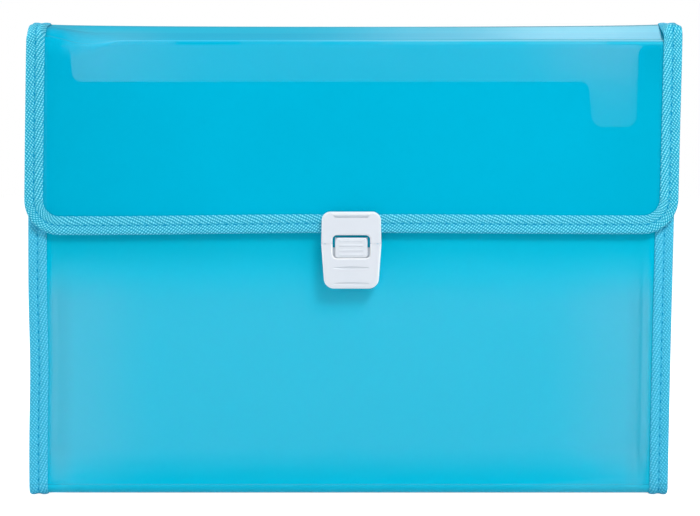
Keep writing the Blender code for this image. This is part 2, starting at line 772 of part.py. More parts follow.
def make_button(material, pivot):
    button = add_piece("clasp_release_button", plate(tongue_outline(), tongue_front_y, tongue_back_y), material, pivot)
    half = PIVOT_LENGTH / 2
    bar = turned([(PIVOT_RADIUS, -half), (PIVOT_RADIUS, half)], (0, pivot_y, pivot_z), "X")
    apply_tool(button, add_tool("pivot_bar", bar), "UNION")
    foot, top = window_foot_z + SEAT_GAP, window_top_z - BUTTON_TOP_GAP
    outline = rectangle(-button_half, button_half, foot, top, BUTTON_CORNER)
    pad_y = clasp_front_y + BUTTON_SETBACK
    pad = plate(outline, pad_y, tongue_front_y + OVERLAP, BUTTON_EDGE_RADIUS)
    apply_tool(button, add_tool("button_pad", pad), "UNION")
    ribs = []
    for number in range(RIB_COUNT):
        height = (foot + top) / 2 + (number - (RIB_COUNT - 1) / 2) * RIB_PITCH
        ends = [(RIB_RADIUS, -RIB_WIDTH / 2), (RIB_RADIUS, RIB_WIDTH / 2)]
        ribs.append(turned(ends, (0, pad_y + RIB_RADIUS / 2, height), "X"))
    apply_tool(button, add_tool("button_ribs", joined(ribs)), "UNION")
    return button


def make_cover(cover, pivots, upper_holes, lower_holes):
    """The wrap-round cover, split at its living creases."""
    front = add_piece("cover_front_panel", plate(front_outline(), front_y, front_y + COVER_SHEET), cover, pivots["front"])
    apply_tool(front, lower_holes, "DIFFERENCE")
    add_piece("cover_bottom_panel", wrapped_sheet(bottom_line(), case_half), cover)
    back_line = [(back_mid_y, panel_foot_z, 0), (back_mid_y, back_crease_z - CREASE_GAP, 0)]
    add_piece("cover_back_panel", wrapped_sheet(back_line, back_half), cover)
    add_piece("cover_top_panel", wrapped_sheet(top_line(), lambda z: flap_half), cover, pivots["lid"])
    outline = [(x, z) for x, z, angle in flap_edge_line()]
    flap = add_piece(
        "flap_panel", plate(outline, flap_mid_y - sheet_half, flap_mid_y + sheet_half), cover, pivots["flap"]
    )
    apply_tool(flap, upper_holes, "DIFFERENCE")


def make_bindings(tape, pivots, upper_holes):
    """The folded tapes along the cover's edges."""
    front_line = [(front_mid_y, panel_foot_z, math.pi), (front_mid_y, shoulder_z, math.pi)]
    back_line = [(back_mid_y, panel_foot_z, 0), (back_mid_y, back_crease_z - CREASE_GAP, 0)]
    for side, word in ((LEFT, "left"), (RIGHT, "right")):
        add_piece(
            f"front_binding_{word}", wrapped_tape(front_line, case_half, side, film_room), tape, pivots["front"]
        )
        add_piece(f"bottom_binding_{word}", wrapped_tape(bottom_line(), case_half, side, film_room), tape)
        add_piece(f"back_binding_{word}", wrapped_tape(back_line, back_half, side, film_room), tape)
        add_piece(
            f"top_binding_{word}", wrapped_tape(top_line(), lambda z: flap_half, side), tape, pivots["lid"]
        )
    flap = add_piece("flap_binding", flap_tape(), tape, pivots["flap"])
    apply_tool(flap, upper_holes, "DIFFERENCE")


def make_pockets(frosted, film, pivots):
    """The dividers, and one pleat of the gusset for each pocket and side."""
    for number in range(1, POCKET_COUNT):
        first = divider_front_y(number)
        outline = divider_outline(TAB_PLACE_SHARES[(number - 1) % len(TAB_PLACE_SHARES)])
        add_piece(
            f"divider_{number}", plate(outline, first, first + DIVIDER_SHEET), frosted, pivots[f"divider_{number}"]
        )
    for number in range(1, POCKET_COUNT + 1):
        carrier = pivots["front"] if number == 1 else pivots[f"divider_{number - 1}"]
        for side, word in ((LEFT, "left"), (RIGHT, "right")):
            add_piece(f"gusset_{word}_{number}", pleat(number, side), film, carrier)


def make_clasp(white, pivots, upper_holes, lower_holes):
    window = add_tool(
        "clasp_window", plate(window_outline(), clasp_front_y - OVERRUN, clasp_wall_y + OVERRUN)
    )
    make_upper_shell(white, pivots["flap"], upper_holes, window)
    lower = make_lower_shell(white, pivots["front"], lower_holes, window)
    base = make_lower_base(white, pivots["front"], lower_holes)
    seat = add_tool("pivot_seat", pivot_seat())
    for piece in (lower, base):
        apply_tool(piece, seat, "DIFFERENCE")
    make_button(white, pivots["button"])
    upper_mid_z = upper_boss_z
    upper_plate = add_piece(
        "clasp_upper_plate",
        backing_plate(
            UPPER_PLATE_WIDTH,
            upper_mid_z - UPPER_PLATE_HEIGHT / 2,
            upper_mid_z + UPPER_PLATE_HEIGHT / 2,
            upper_plate_back_y - UPPER_PLATE,
            upper_plate_back_y,
        ),
        white,
        pivots["flap"],
    )
    apply_tool(upper_plate, upper_holes, "DIFFERENCE")
    lower_plate = add_piece(
        "clasp_lower_plate",
        backing_plate(
            LOWER_PLATE_WIDTH,
            lower_boss_z - LOWER_PLATE_HEIGHT / 2,
            lower_boss_z + LOWER_PLATE_HEIGHT / 2,
            lower_plate_back_y - LOWER_PLATE,
            lower_plate_back_y,
        ),
        white,
        pivots["front"],
    )
    apply_tool(lower_plate, lower_holes, "DIFFERENCE")
    for side, word in ((LEFT, "left"), (RIGHT, "right")):
        x = side * UPPER_BOSS_SPREAD / 2
        tip = upper_rim_y - RIVET_GRIP + SEAT_GAP
        shape = rivet(x, upper_boss_z, upper_plate_back_y, UPPER_PLATE, tip)
        add_piece(f"clasp_upper_rivet_{word}", shape, white, pivots["flap"])
        x = side * LOWER_BOSS_SPREAD / 2
        tip = base_front_y - RIVET_GRIP + SEAT_GAP
        shape = rivet(x, lower_boss_z, lower_plate_back_y, LOWER_PLATE, tip)
        add_piece(f"clasp_lower_rivet_{word}", shape, white, pivots["front"])


def make_pivots():
    """Empties on the joint axes: the lid and flap creases, the fan of pockets and the button."""
    pivots = {"lid": add_pivot("lid_pivot", lid_axis)}
    pivots["flap"] = add_pivot("flap_pivot", flap_axis, pivots["lid"])
    carrier = None
    for number in range(POCKET_COUNT - 1, 0, -1):
        carrier = add_pivot(f"divider_{number}_pivot", fan_axis, carrier)
        pivots[f"divider_{number}"] = carrier
    pivots["front"] = add_pivot("front_pivot", fan_axis, carrier)
    pivots["button"] = add_pivot("button_pivot", button_axis, pivots["front"])
    return pivots


def make_rivet_holes():
    """One cutter for each half of the clasp: the clearance holes of its two rivets."""
    upper, lower = [], []
    for side in (LEFT, RIGHT):
        end = upper_rim_y - RIVET_GRIP
        x = side * UPPER_BOSS_SPREAD / 2
        upper.append(rivet_hole(x, upper_boss_z, upper_plate_back_y, UPPER_PLATE, end))
        end = base_front_y - RIVET_GRIP
        x = side * LOWER_BOSS_SPREAD / 2
        lower.append(rivet_hole(x, lower_boss_z, lower_plate_back_y, LOWER_PLATE, end))
    return add_tool("upper_rivet_holes", joined(upper)), add_tool("lower_rivet_holes", joined(lower))


def main():
    clear_scene()
    pivots = make_pivots()
    upper_holes, lower_holes = make_rivet_holes()
    cover = make_material("cover_sheet", COVER_BLUE, 0.25, alpha=0.85)
    frosted = make_material("divider_sheet", FROSTED, 0.5, alpha=0.8)
    film = make_material("gusset_film", FILM_BLUE, 0.4, alpha=0.85)
    tape = make_material("binding_tape", TAPE_BLUE, 0.85)
    white = make_material("clasp_plastic", CLASP_WHITE, 0.3)
    make_cover(cover, pivots, upper_holes, lower_holes)
    make_bindings(tape, pivots, upper_holes)
    make_pockets(frosted, film, pivots)
    make_clasp(white, pivots, upper_holes, lower_holes)


main()
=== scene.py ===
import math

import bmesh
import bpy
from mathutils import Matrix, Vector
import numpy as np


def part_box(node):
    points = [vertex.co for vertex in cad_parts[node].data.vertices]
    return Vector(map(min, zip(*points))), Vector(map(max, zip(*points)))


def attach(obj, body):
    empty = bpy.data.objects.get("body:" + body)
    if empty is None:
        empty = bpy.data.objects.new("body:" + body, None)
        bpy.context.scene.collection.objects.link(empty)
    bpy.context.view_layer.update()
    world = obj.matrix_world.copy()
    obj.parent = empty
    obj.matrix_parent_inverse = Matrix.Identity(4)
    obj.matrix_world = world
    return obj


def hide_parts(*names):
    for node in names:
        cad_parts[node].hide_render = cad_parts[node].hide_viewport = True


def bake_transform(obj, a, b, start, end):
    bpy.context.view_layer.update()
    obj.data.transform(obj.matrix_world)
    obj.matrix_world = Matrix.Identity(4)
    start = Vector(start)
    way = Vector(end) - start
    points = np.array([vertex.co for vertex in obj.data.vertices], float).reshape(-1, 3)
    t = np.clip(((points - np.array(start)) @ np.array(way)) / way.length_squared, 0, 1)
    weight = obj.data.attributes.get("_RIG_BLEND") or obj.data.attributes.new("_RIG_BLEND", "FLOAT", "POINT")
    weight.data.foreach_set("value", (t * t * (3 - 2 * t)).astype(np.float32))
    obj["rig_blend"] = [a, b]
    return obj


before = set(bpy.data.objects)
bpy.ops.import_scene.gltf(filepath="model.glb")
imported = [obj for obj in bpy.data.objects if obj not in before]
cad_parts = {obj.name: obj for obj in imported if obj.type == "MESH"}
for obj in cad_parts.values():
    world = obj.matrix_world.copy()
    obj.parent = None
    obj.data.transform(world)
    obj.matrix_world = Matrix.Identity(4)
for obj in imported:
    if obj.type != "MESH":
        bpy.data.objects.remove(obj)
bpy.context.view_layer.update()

# %% [markdown]
# # A clasp file case in translucent plastic
#
# The real thing is one sheet of polypropylene, creased four times so that it wraps round a row of
# pockets. Its edges are bound with woven tape, and a two-part white clasp holds the flap shut.
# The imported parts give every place. Lengths on the case are written in millimetres, and one small
# helper turns them into metres.

MM = 0.001


def mm(*lengths):
    return Vector([length * MM for length in lengths])


for name in ("cover_front_panel", "flap_panel", "cover_back_panel", "clasp_upper_shell"):
    low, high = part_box(name)
    print(name, [round(v / MM, 2) for v in low], "to", [round(v / MM, 2) for v in high])

# %% [markdown]
# ## Camera
#
# The case was photographed from in front and a good way off, four degrees above the level. So the
# lens is long: the sides stay almost parallel, and a thin strip of the sloping top shows. The lens
# follows from how many pixels of the picture one radian of view covers.

# %% Camera
PHOTO_WIDTH = 700
PIXELS_PER_RADIAN = 3133
VIEW_DISTANCE = 1.6
VIEW_RISE = math.radians(4)
AIM = mm(-0.66, -16.45, 122.9)

camera_data = bpy.data.cameras.new("camera")
camera_data.sensor_width = 36
camera_data.lens = PIXELS_PER_RADIAN * camera_data.sensor_width / PHOTO_WIDTH
camera_data.clip_start, camera_data.clip_end = 0.05, 50
camera = bpy.data.objects.new("camera", camera_data)
bpy.context.scene.collection.objects.link(camera)
towards_camera = Vector((0, -math.cos(VIEW_RISE), math.sin(VIEW_RISE)))
camera.location = AIM + towards_camera * VIEW_DISTANCE
camera.rotation_euler = towards_camera.to_track_quat("Z", "Y").to_euler()
bpy.context.scene.camera = camera
print("lens", round(camera_data.lens, 1), "mm")

# %% [markdown]
# ## Light and floor
#
# White plastic and woven tape want soft shadows, so each lamp is a wide sheet of light. The main one
# hangs above, in front and to the right. Weaker ones fill in from the front and from both sides, and
# one high at the left lights the top. Glossy plastic mirrors a lamp as a pale patch, so two faint
# cards stand behind the case, where the top strip mirrors them.

# %% Lamps
scene = bpy.context.scene
scene.view_settings.view_transform = "Standard"
CASE_MIDDLE, CASE_TOP, TOP_AT_RIGHT = (0, 0, 0.12), (0, 0, 0.24), (0.1, 0, 0.24)


def softbox(name, place, aim, width, height, power):
    lamp_data = bpy.data.lights.new(name, "AREA")
    lamp_data.shape = "RECTANGLE"
    lamp_data.size, lamp_data.size_y = width, height
    lamp_data.energy = power
    lamp = bpy.data.objects.new(name, lamp_data)
    scene.collection.objects.link(lamp)
    lamp.location = place
    lamp.rotation_euler = (Vector(place) - Vector(aim)).to_track_quat("Z", "Y").to_euler()


softbox("overhead_softbox", (0.45, -0.85, 1.05), CASE_MIDDLE, 0.4, 0.35, 11.4)
softbox("front_fill", (-0.1, -1.6, 0.45), CASE_MIDDLE, 1.3, 1.2, 2.1)
softbox("left_softbox", (-1.2, -0.5, 0.35), CASE_MIDDLE, 0.8, 0.8, 3.2)
softbox("right_softbox", (1.2, -0.5, 0.35), CASE_MIDDLE, 0.8, 0.8, 3.4)
softbox("top_softbox", (-1.0, 0.15, 0.9), CASE_TOP, 0.6, 0.4, 10.0)
softbox("rear_card", (0.38, 1.1, 0.86), TOP_AT_RIGHT, 0.5, 0.3, 0.8)
softbox("faint_card", (0.14, 1.1, 0.86), TOP_AT_RIGHT, 0.25, 0.3, 0.24)
print("lamps", [lamp.name for lamp in bpy.data.lights])

# %% [markdown]
# ## A white background
#
# The white behind the case is only the world and the floor as the camera's rays meet them. All other
# rays meet a dim room and a plain pale floor, so the white puts no light on the case, and the floor
# still takes its shadow.

# %% World and floor
ROOM_LIGHT, FLOOR_GLOW, FLOOR_GREY = 0.175, 0.9, 0.8


def graph(owner):
    owner.use_nodes = True
    return owner.node_tree.nodes, owner.node_tree.links


def seen_by_camera(nodes, links, otherwise, seen):
    """Mixes two shaders so that only the camera's rays meet the second."""
    ray = nodes.new("ShaderNodeLightPath")
    either = nodes.new("ShaderNodeMixShader")
    links.new(ray.outputs["Is Camera Ray"], either.inputs["Fac"])
    links.new(otherwise.outputs[0], either.inputs[1])
    links.new(seen.outputs[0], either.inputs[2])
    return either.outputs[0]


world = bpy.data.worlds.new("studio")
scene.world = world
nodes, links = graph(world)
room, white = nodes["Background"], nodes.new("ShaderNodeBackground")
for background in (room, white):
    background.inputs["Color"].default_value = (1, 1, 1, 1)
room.inputs["Strength"].default_value = ROOM_LIGHT
links.new(seen_by_camera(nodes, links, room, white), nodes["World Output"].inputs["Surface"])

bpy.ops.mesh.primitive_plane_add(size=6)
floor = bpy.context.object
floor.name = "floor"
floor_paint = bpy.data.materials.new("floor_paint")
nodes, links = graph(floor_paint)
paint = nodes["Principled BSDF"]
paint.inputs["Base Color"].default_value = (FLOOR_GREY, FLOOR_GREY, FLOOR_GREY, 1)
paint.inputs["Roughness"].default_value = 0.7
glow = nodes.new("ShaderNodeEmission")
glow.inputs["Strength"].default_value = FLOOR_GLOW
both = nodes.new("ShaderNodeAddShader")
links.new(paint.outputs[0], both.inputs[0])
links.new(glow.outputs[0], both.inputs[1])
links.new(seen_by_camera(nodes, links, paint, both), nodes["Material Output"].inputs["Surface"])
floor.data.materials.append(floor_paint)
print("room light", ROOM_LIGHT, "and the floor's glow for the camera", FLOOR_GLOW)

# %% [markdown]
# ## Finishes
#
# Every finish here is a plastic or a thread with one main shader. A few helpers add the nodes that
# vary it: a soft noise between two near colours, as moulded and rolled plastic has, a little bump,
# and a share of the rays that passes through. All of them read places on the object itself.

# %% Helpers for nodes


def add_node(material, kind, links_in=None, **settings):
    """Adds a node. links_in gives each input a value, or another node's output."""
    made = material.node_tree.nodes.new("ShaderNode" + kind)
    for setting, value in settings.items():
        setattr(made, setting, value)
    for socket, value in (links_in or {}).items():
        if isinstance(value, bpy.types.NodeSocket):
            material.node_tree.links.new(value, made.inputs[socket])
        else:
            made.inputs[socket].default_value = value
    return made


def new_finish(name, roughness, **sockets):
    material = bpy.data.materials.new(name)
    material.use_nodes = True
    shader = material.node_tree.nodes["Principled BSDF"]
    shader.inputs["Roughness"].default_value = roughness
    for socket, value in sockets.items():
        shader.inputs[socket.replace("_", " ")].default_value = value
    return material, shader


def mix_colours(material, first, second, amount):
    """A colour between two, each given as a colour or as a node's output, by an amount from 0 to 1."""
    is_output = [isinstance(end, bpy.types.NodeSocket) for end in (first, second)]
    first = first if is_output[0] else (*first, 1)
    second = second if is_output[1] else (*second, 1)
    ends = {"Factor": amount, 6: first, 7: second}
    return add_node(material, "Mix", ends, data_type="RGBA").outputs[2]


def two_tone(material, shader, first, second, amount):
    """Gives the shader a base colour between two."""
    mixed = mix_colours(material, first, second, amount)
    material.node_tree.links.new(mixed, shader.inputs["Base Color"])


def add_bump(material, shader, height, distance):
    bump = add_node(material, "Bump", {"Height": height, "Distance": distance, "Strength": 1.0})
    material.node_tree.links.new(bump.outputs["Normal"], shader.inputs["Normal"])


def object_noise(material, scale):
    place = add_node(material, "TexCoord").outputs["Object"]
    noise = {"Vector": place, "Scale": scale, "Detail": 2.0}
    return add_node(material, "TexNoise", noise).outputs["Fac"]


def see_through(material, shader, seen, lit):
    """The share of rays that a face stops: the camera's (a number or an output), and all others."""
    ray = add_node(material, "LightPath")
    cover = add_node(material, "Mix", {0: ray.outputs["Is Camera Ray"], 2: lit, 3: seen})
    material.node_tree.links.new(cover.outputs[0], shader.inputs["Alpha"])


def maths(material, operation, *values):
    return add_node(material, "Math", dict(enumerate(values)), operation=operation).outputs[0]


# %% [markdown]
# ## Cover plastic
#
# The cover is see-through, but only just: where two sheets lie over each other hardly anything shows
# behind them, and where there is one sheet the pale dividers lighten it. Real transmission would
# need many bounces of light, so each face simply stops a share of the rays, more of the camera's than
# of the light's, so that the pockets aren't dark. How much it stops is noted on each point of a sheet
# as its coverage, which on the front panel and the flap also paints shade and light in the pockets.
# A second note whitens the plastic where it is strained and where highlights are painted (above 0),
# and darkens it with painted shade and less gloss where the eye looks along the sheet, under the
# flap and near the foot (below 0).

# %% Cover plastic
# Tints for strain with painted highlights, and for painted shade.
STRAIN_AND_HIGHLIGHT_TINT, PAINTED_SHADE_TINT = (0.36, 0.66, 0.72), (0, 0.27, 0.40)
LIGHT_COVERAGE = 0.3


def tinted_sheet(name, dull, bright):
    """Translucent blue plastic with fine lines from the drawing of the sheet."""
    material, shader = new_finish(name, 0.3, IOR=1.45, Specular_Tint=(0, 1, 1, 1))
    # The note of strain and painted light: above 0 it whitens, below 0 it paints shade and dulls the gloss.
    strain_and_light_weight = add_node(material, "Attribute", attribute_name="strain_and_painted_light").outputs["Fac"]
    deep = maths(material, "MULTIPLY", strain_and_light_weight, -1)
    tint = mix_colours(material, dull, bright, object_noise(material, 14))
    strained_and_highlit_tint = mix_colours(material, tint, STRAIN_AND_HIGHLIGHT_TINT, strain_and_light_weight)
    two_tone(material, shader, strained_and_highlit_tint, PAINTED_SHADE_TINT, deep)
    fading = {"Value": deep, "From Min": 0.5, "To Min": 0.5, "To Max": 0}
    gloss = add_node(material, "MapRange", fading).outputs[0]
    material.node_tree.links.new(gloss, shader.inputs["Specular IOR Level"])
    place = add_node(material, "TexCoord").outputs["Object"]
    drawn = add_node(material, "VectorMath", {0: place, 1: (5, 330, 0)}, operation="MULTIPLY")
    lines = add_node(material, "TexNoise", {"Vector": drawn.outputs[0], "Scale": 1, "Detail": 2})
    relief = maths(material, "MULTIPLY_ADD", object_noise(material, 1600), 0.1, lines.outputs["Fac"])
    add_bump(material, shader, relief, 0.2 * MM)
    # The coverage also carries painted shade and light in the pockets behind the sheet.
    density = add_node(material, "Attribute", attribute_name="coverage_and_painted_light").outputs["Fac"]
    see_through(material, shader, density, LIGHT_COVERAGE)
    return material


cover_plastic = tinted_sheet("cover_plastic", (0, 0.50, 0.735), (0, 0.53, 0.78))
flap_plastic = tinted_sheet("flap_plastic", (0, 0.45, 0.695), (0, 0.485, 0.74))

# %% [markdown]
# ## Dividers, film and clasp
#
# The dividers are frosted sheet, the gussets a thinner film of the same, which lets more through, and
# the clasp is white moulded plastic. Its rounded edges are brighter than its faces, and that is a
# painted highlight: those points carry a note of their own, the painted rim highlight.

# %% Pale plastics
frosted_plastic, shader = new_finish("frosted_plastic", 0.5)
cloudy = object_noise(frosted_plastic, 20)
two_tone(frosted_plastic, shader, (0.62, 0.86, 0.95), (0.70, 0.91, 0.99), cloudy)
add_bump(frosted_plastic, shader, object_noise(frosted_plastic, 2200), 0.03 * MM)

film_plastic, shader = new_finish("film_plastic", 0.4)
cloudy = object_noise(film_plastic, 30)
two_tone(film_plastic, shader, (0.60, 0.84, 0.93), (0.68, 0.89, 0.97), cloudy)
add_bump(film_plastic, shader, object_noise(film_plastic, 1800), 0.02 * MM)
see_through(film_plastic, shader, 0.75, 0.4)

clasp_plastic, shader = new_finish("clasp_plastic", 0.32)
cloudy = object_noise(clasp_plastic, 60)
moulded = mix_colours(clasp_plastic, (0.68, 0.725, 0.795), (0.715, 0.755, 0.815), cloudy)
# A painted highlight: the rounded edges are whitened.
painted_rim_highlight = add_node(clasp_plastic, "Attribute", attribute_name="painted_rim_highlight").outputs["Fac"]
two_tone(clasp_plastic, shader, moulded, (0.98, 0.99, 1.0), painted_rim_highlight)
add_bump(clasp_plastic, shader, object_noise(clasp_plastic, 3000), 0.01 * MM)
see_through(clasp_plastic, shader, 1.0, 0.4)
print("plastics", [material.name for material in bpy.data.materials])

# %% [markdown]
# ## Woven tape
#
# The tape is a twill: light floats of thread lie in slanting rows across it. Modelled threads would
# be far too many, so the pattern is drawn from two numbers that each point of a tape carries, its
# place along the tape and its place across it, and the rows follow every bend. Two crossing waves
# make the floats, which change their slant past the seam, and their height is the bump too.

# %% Twill
TWILL_SLANT = math.radians(27)
FLOAT_SLANT, BACK_SLANT = TWILL_SLANT + math.radians(80), TWILL_SLANT - math.radians(75)
ROW_PITCH, FLOAT_PITCH, THREAD_WANDER = 1.42, 1.22, 1.3
TAPE_SEAM = 5.0


def wave(material, vector, slant, pitch):
    """A wave from 0 to 1 across lines that run at a slant to the tape, pitch millimetres apart."""
    way = (-math.sin(slant) / MM / pitch, math.cos(slant) / MM / pitch, 0)
    turns = add_node(material, "VectorMath", {0: vector, 1: way}, operation="DOT_PRODUCT")
    swing = maths(material, "SINE", maths(material, "MULTIPLY", turns.outputs["Value"], 2 * math.pi))
    return maths(material, "MULTIPLY_ADD", swing, 0.5, 0.5)


def ramp(material, value, start, end):
    """From 0 at the start to 1 at the end."""
    ends = {"Value": value, "From Min": start, "From Max": end}
    return add_node(material, "MapRange", ends).outputs[0]


def wandering(cloth, place):
    """The place, moved a little by a noise, so that no thread is quite straight."""
    wander = add_node(cloth, "TexNoise", {"Vector": place, "Scale": 190, "Detail": 1})
    noise = {0: wander.outputs["Color"], 1: (0.5, 0.5, 0.5)}
    centred = add_node(cloth, "VectorMath", noise, operation="SUBTRACT").outputs[0]
    step = {0: centred, "Scale": THREAD_WANDER * MM}
    nudge = add_node(cloth, "VectorMath", step, operation="SCALE").outputs[0]
    return add_node(cloth, "VectorMath", {0: place, 1: nudge}, operation="ADD").outputs[0]


def twill(name, dark, light, seam_dark):
    cloth, shader = new_finish(name, 0.6, Specular_Tint=(0.3, 1, 1, 1))
    place = add_node(cloth, "Attribute", attribute_name="weave").outputs["Vector"]
    weave = wandering(cloth, place)
    rows = wave(cloth, weave, TWILL_SLANT, ROW_PITCH)
    floats = wave(cloth, weave, FLOAT_SLANT, FLOAT_PITCH)
    back_floats = wave(cloth, weave, BACK_SLANT, FLOAT_PITCH)
    by_rows = maths(cloth, "MULTIPLY", rows, maths(cloth, "MULTIPLY_ADD", floats, 0.7, 0.3))
    by_floats = maths(cloth, "MULTIPLY", back_floats, maths(cloth, "MULTIPLY_ADD", rows, 0.8, 0.2))
    across = add_node(cloth, "SeparateXYZ", {0: place}).outputs["Y"]
    past_seam = ramp(cloth, across, (TAPE_SEAM - 0.6) * MM, (TAPE_SEAM + 0.4) * MM)
    woven = add_node(cloth, "Mix", {0: past_seam, 2: by_rows, 3: by_floats}).outputs[0]
    spun = add_node(cloth, "TexNoise", {"Vector": place, "Scale": 750, "Detail": 1}).outputs["Fac"]
    height = maths(cloth, "MULTIPLY", woven, maths(cloth, "MULTIPLY_ADD", spun, 0.9, 0.55))
    from_seam = maths(cloth, "ABSOLUTE", maths(cloth, "SUBTRACT", across, TAPE_SEAM * MM))
    off_seam = ramp(cloth, from_seam, 0.2 * MM, 0.75 * MM)
    clear = maths(cloth, "MULTIPLY_ADD", off_seam, seam_dark, 1 - seam_dark)
    crisp = maths(cloth, "MULTIPLY", ramp(cloth, height, 0.18, 0.62), clear)
    two_tone(cloth, shader, dark, light, crisp)
    add_bump(cloth, shader, height, 0.22 * MM)
    return cloth


tape_cloth = twill("tape_cloth", (0.008, 0.35, 0.56), (0.21, 0.80, 0.97), 0.55)
worn_cloth = twill("worn_cloth", (0.032, 0.42, 0.66), (0.13, 0.66, 0.90), 0.8)
thread, shader = new_finish("thread", 0.6, Specular_Tint=(0, 0.6, 1, 1))
two_tone(thread, shader, (0.0, 0.21, 0.44), (0.0, 0.31, 0.57), object_noise(thread, 3000))
print("rows", ROW_PITCH, "mm apart at", round(math.degrees(TWILL_SLANT)), "degrees")

# %% [markdown]
# ## Working in edit mode
#
# These small helpers choose points by their place, pull the chosen edge along a straight line, and
# turn it round a corner. A whole bent sheet or a folded tape is then a short list of pulls and
# turns, which is also how the real sheet is creased.

# %% Choosing points


def drop_selection():
    if bpy.context.object and bpy.context.object.mode == "EDIT":
        bpy.ops.object.mode_set(mode="OBJECT")
    bpy.ops.object.select_all(action="DESELECT")


def edit(piece):
    drop_selection()
    piece.hide_set(False)
    piece.select_set(True)
    bpy.context.view_layer.objects.active = piece
    bpy.ops.object.mode_set(mode="EDIT")


def edit_all(piece):
    edit(piece)
    bpy.ops.mesh.select_all(action="SELECT")


def choose(kind, wanted):
    """Selects the vertices or edges all of whose points pass the test, and counts them."""
    mesh = bpy.context.edit_object.data
    bpy.ops.mesh.select_mode(type=kind)
    bpy.ops.mesh.select_all(action="DESELECT")
    shape = bmesh.from_edit_mesh(mesh)
    count = 0
    for part in shape.verts if kind == "VERT" else shape.edges:
        points = [part] if kind == "VERT" else list(part.verts)
        if wanted(points):
            part.select_set(True)
            count += 1
    shape.select_flush_mode()
    bmesh.update_edit_mesh(mesh)
    return count


# %% Pulls and turns
X_AXIS, Y_AXIS, Z_AXIS = (1, 0, 0), (0, 1, 0), (0, 0, 1)


def mark(distance):
    """Writes how far along the tape the chosen ring lies, in millimetres."""
    mesh = bpy.context.edit_object.data
    shape = bmesh.from_edit_mesh(mesh)
    along = shape.verts.layers.float["along"]
    for point in shape.verts:
        if point.select:
            point[along] = distance
    bmesh.update_edit_mesh(mesh)


def pull(walked, step, sense=1):
    """Extrudes the chosen edges by a step in millimetres."""
    bpy.ops.mesh.extrude_edges_move(TRANSFORM_OT_translate={"value": mm(*step)})
    walked += sense * Vector(step).length
    mark(walked)
    return walked


def turn(walked, centre, axis, degrees, radius, sense=1, steps=8):
    """Spins the chosen edges round a centre, in small steps."""
    step = math.radians(-degrees / steps)
    for _ in range(steps):
        bpy.ops.mesh.spin(steps=1, angle=step, center=mm(*centre), axis=axis)
        walked += sense * math.radians(abs(degrees) / steps) * radius
        mark(walked)
    return walked


# %% Finishing a piece


def choose_piece(piece):
    drop_selection()
    piece.select_set(True)
    bpy.context.view_layer.objects.active = piece


def apply_modifiers(piece):
    choose_piece(piece)
    for modifier in list(piece.modifiers):
        bpy.ops.object.modifier_apply(modifier=modifier.name)


def thicken(piece, thickness):
    solid = piece.modifiers.new("thickness", "SOLIDIFY")
    solid.thickness = thickness * MM
    solid.offset = 0
    solid.use_even_offset = True
    apply_modifiers(piece)


def smooth(piece, degrees=35):
    choose_piece(piece)
    bpy.ops.object.shade_smooth_by_angle(angle=math.radians(degrees))


def made(piece):
    size = [round(v / MM, 1) for v in piece.dimensions]
    print(f"{piece.name}: {size} mm, {len(piece.data.polygons)} faces")


# %% [markdown]
# ## The lie of the case
#
# Soft cases don't stand quite true. This one leans a little to its left at the foot and to its right
# at the top, and the crease at the back of the top sags between the stiff taped sides. The pieces are
# made straight, which keeps their places simple, and each one is settled at its end by moving its
# points with the same few rules, so that neighbours still meet.

# %% Lean and sag
LEAN_FOOT_Z, LEAN_KNEE_Z = 9.5, 134
CORNER_LINE, CORNER_REACH, CORNER_CUT, CORNER_FALL = (-13.9, 233.9), 13.5, 4.0, (0, 0.55, -0.83)
SAG_DEPTH, SAG_FRONT, SAG_BACK, SAG_HALF = 1.3, -13.0, 17.0, 158
WAIST_DEPTH, WAIST_Z, WAIST_SPREAD = 0.8, 66.0, 29.0


def ratio(value, start, end):
    """From 0 at the start to 1 at the end, in a straight line."""
    return min(1.0, max(0.0, (value - start) / (end - start)))


def fade(value, start, end):
    """From 0 at the start to 1 at the end, eased at both."""
    share = ratio(value, start, end)
    return share * share * (3 - 2 * share)


def lean(z):
    """How far the case leans at a height: a straight lean, and a slight bow between two heights."""
    bow = (z - LEAN_FOOT_Z) * (z - LEAN_KNEE_Z)
    return -1.38 + 0.00932 * (z - LEAN_FOOT_Z) + 0.000037 * bow


def sag(x, y, z):
    across = max(0.0, 1 - (x / SAG_HALF) ** 2) ** 0.5
    return -SAG_DEPTH * across * ratio(y, SAG_FRONT, SAG_BACK) * ratio(z, 190, 230)


def waist(x, z):
    """The left side is drawn in a little below half its height."""
    return WAIST_DEPTH * ratio(-x, 90, 160) * math.exp(-(((z - WAIST_Z) / WAIST_SPREAD) ** 2))


def closeness(place, line, reach):
    """1 on a line along the case, given as (y, z), and 0 from its reach onwards."""
    return max(0.0, 1 - math.dist(place, line) / reach)


def rounded_corner(x, y, z):
    """How far the lid's front crease is rounded off beside the left tape."""
    return CORNER_CUT * closeness((y, z), CORNER_LINE, CORNER_REACH) ** 2 * fade(-x, 116, 148)


def foot_rise(x, z):
    """The flap's foot is drawn up in a shallow bow, most of all at the clasp."""
    bow = 0.4 + 1.05 * fade(x, -135, -15) - 0.6 * fade(x, 20, 130)
    return bow * fade(z, 215, 150)


print("lean at the foot and the top", round(lean(5), 2), round(lean(235), 2))

# %% Raised turns, and settling a piece
BUNCH_HEIGHT = 7.0
CORNER_LIFT = 0.8


def on_flap(z):
    return ratio(z, 219, 231) ** 2


def bunch(y, z):
    """How far a tape stands up where it is turned over the lid's front crease."""
    return BUNCH_HEIGHT * on_flap(z) * ratio(-y, -15, 13)


def corner_lift(x):
    """The share of that which the sheet beside the left tape rises with it."""
    return CORNER_LIFT * fade(-x, 132, 158)


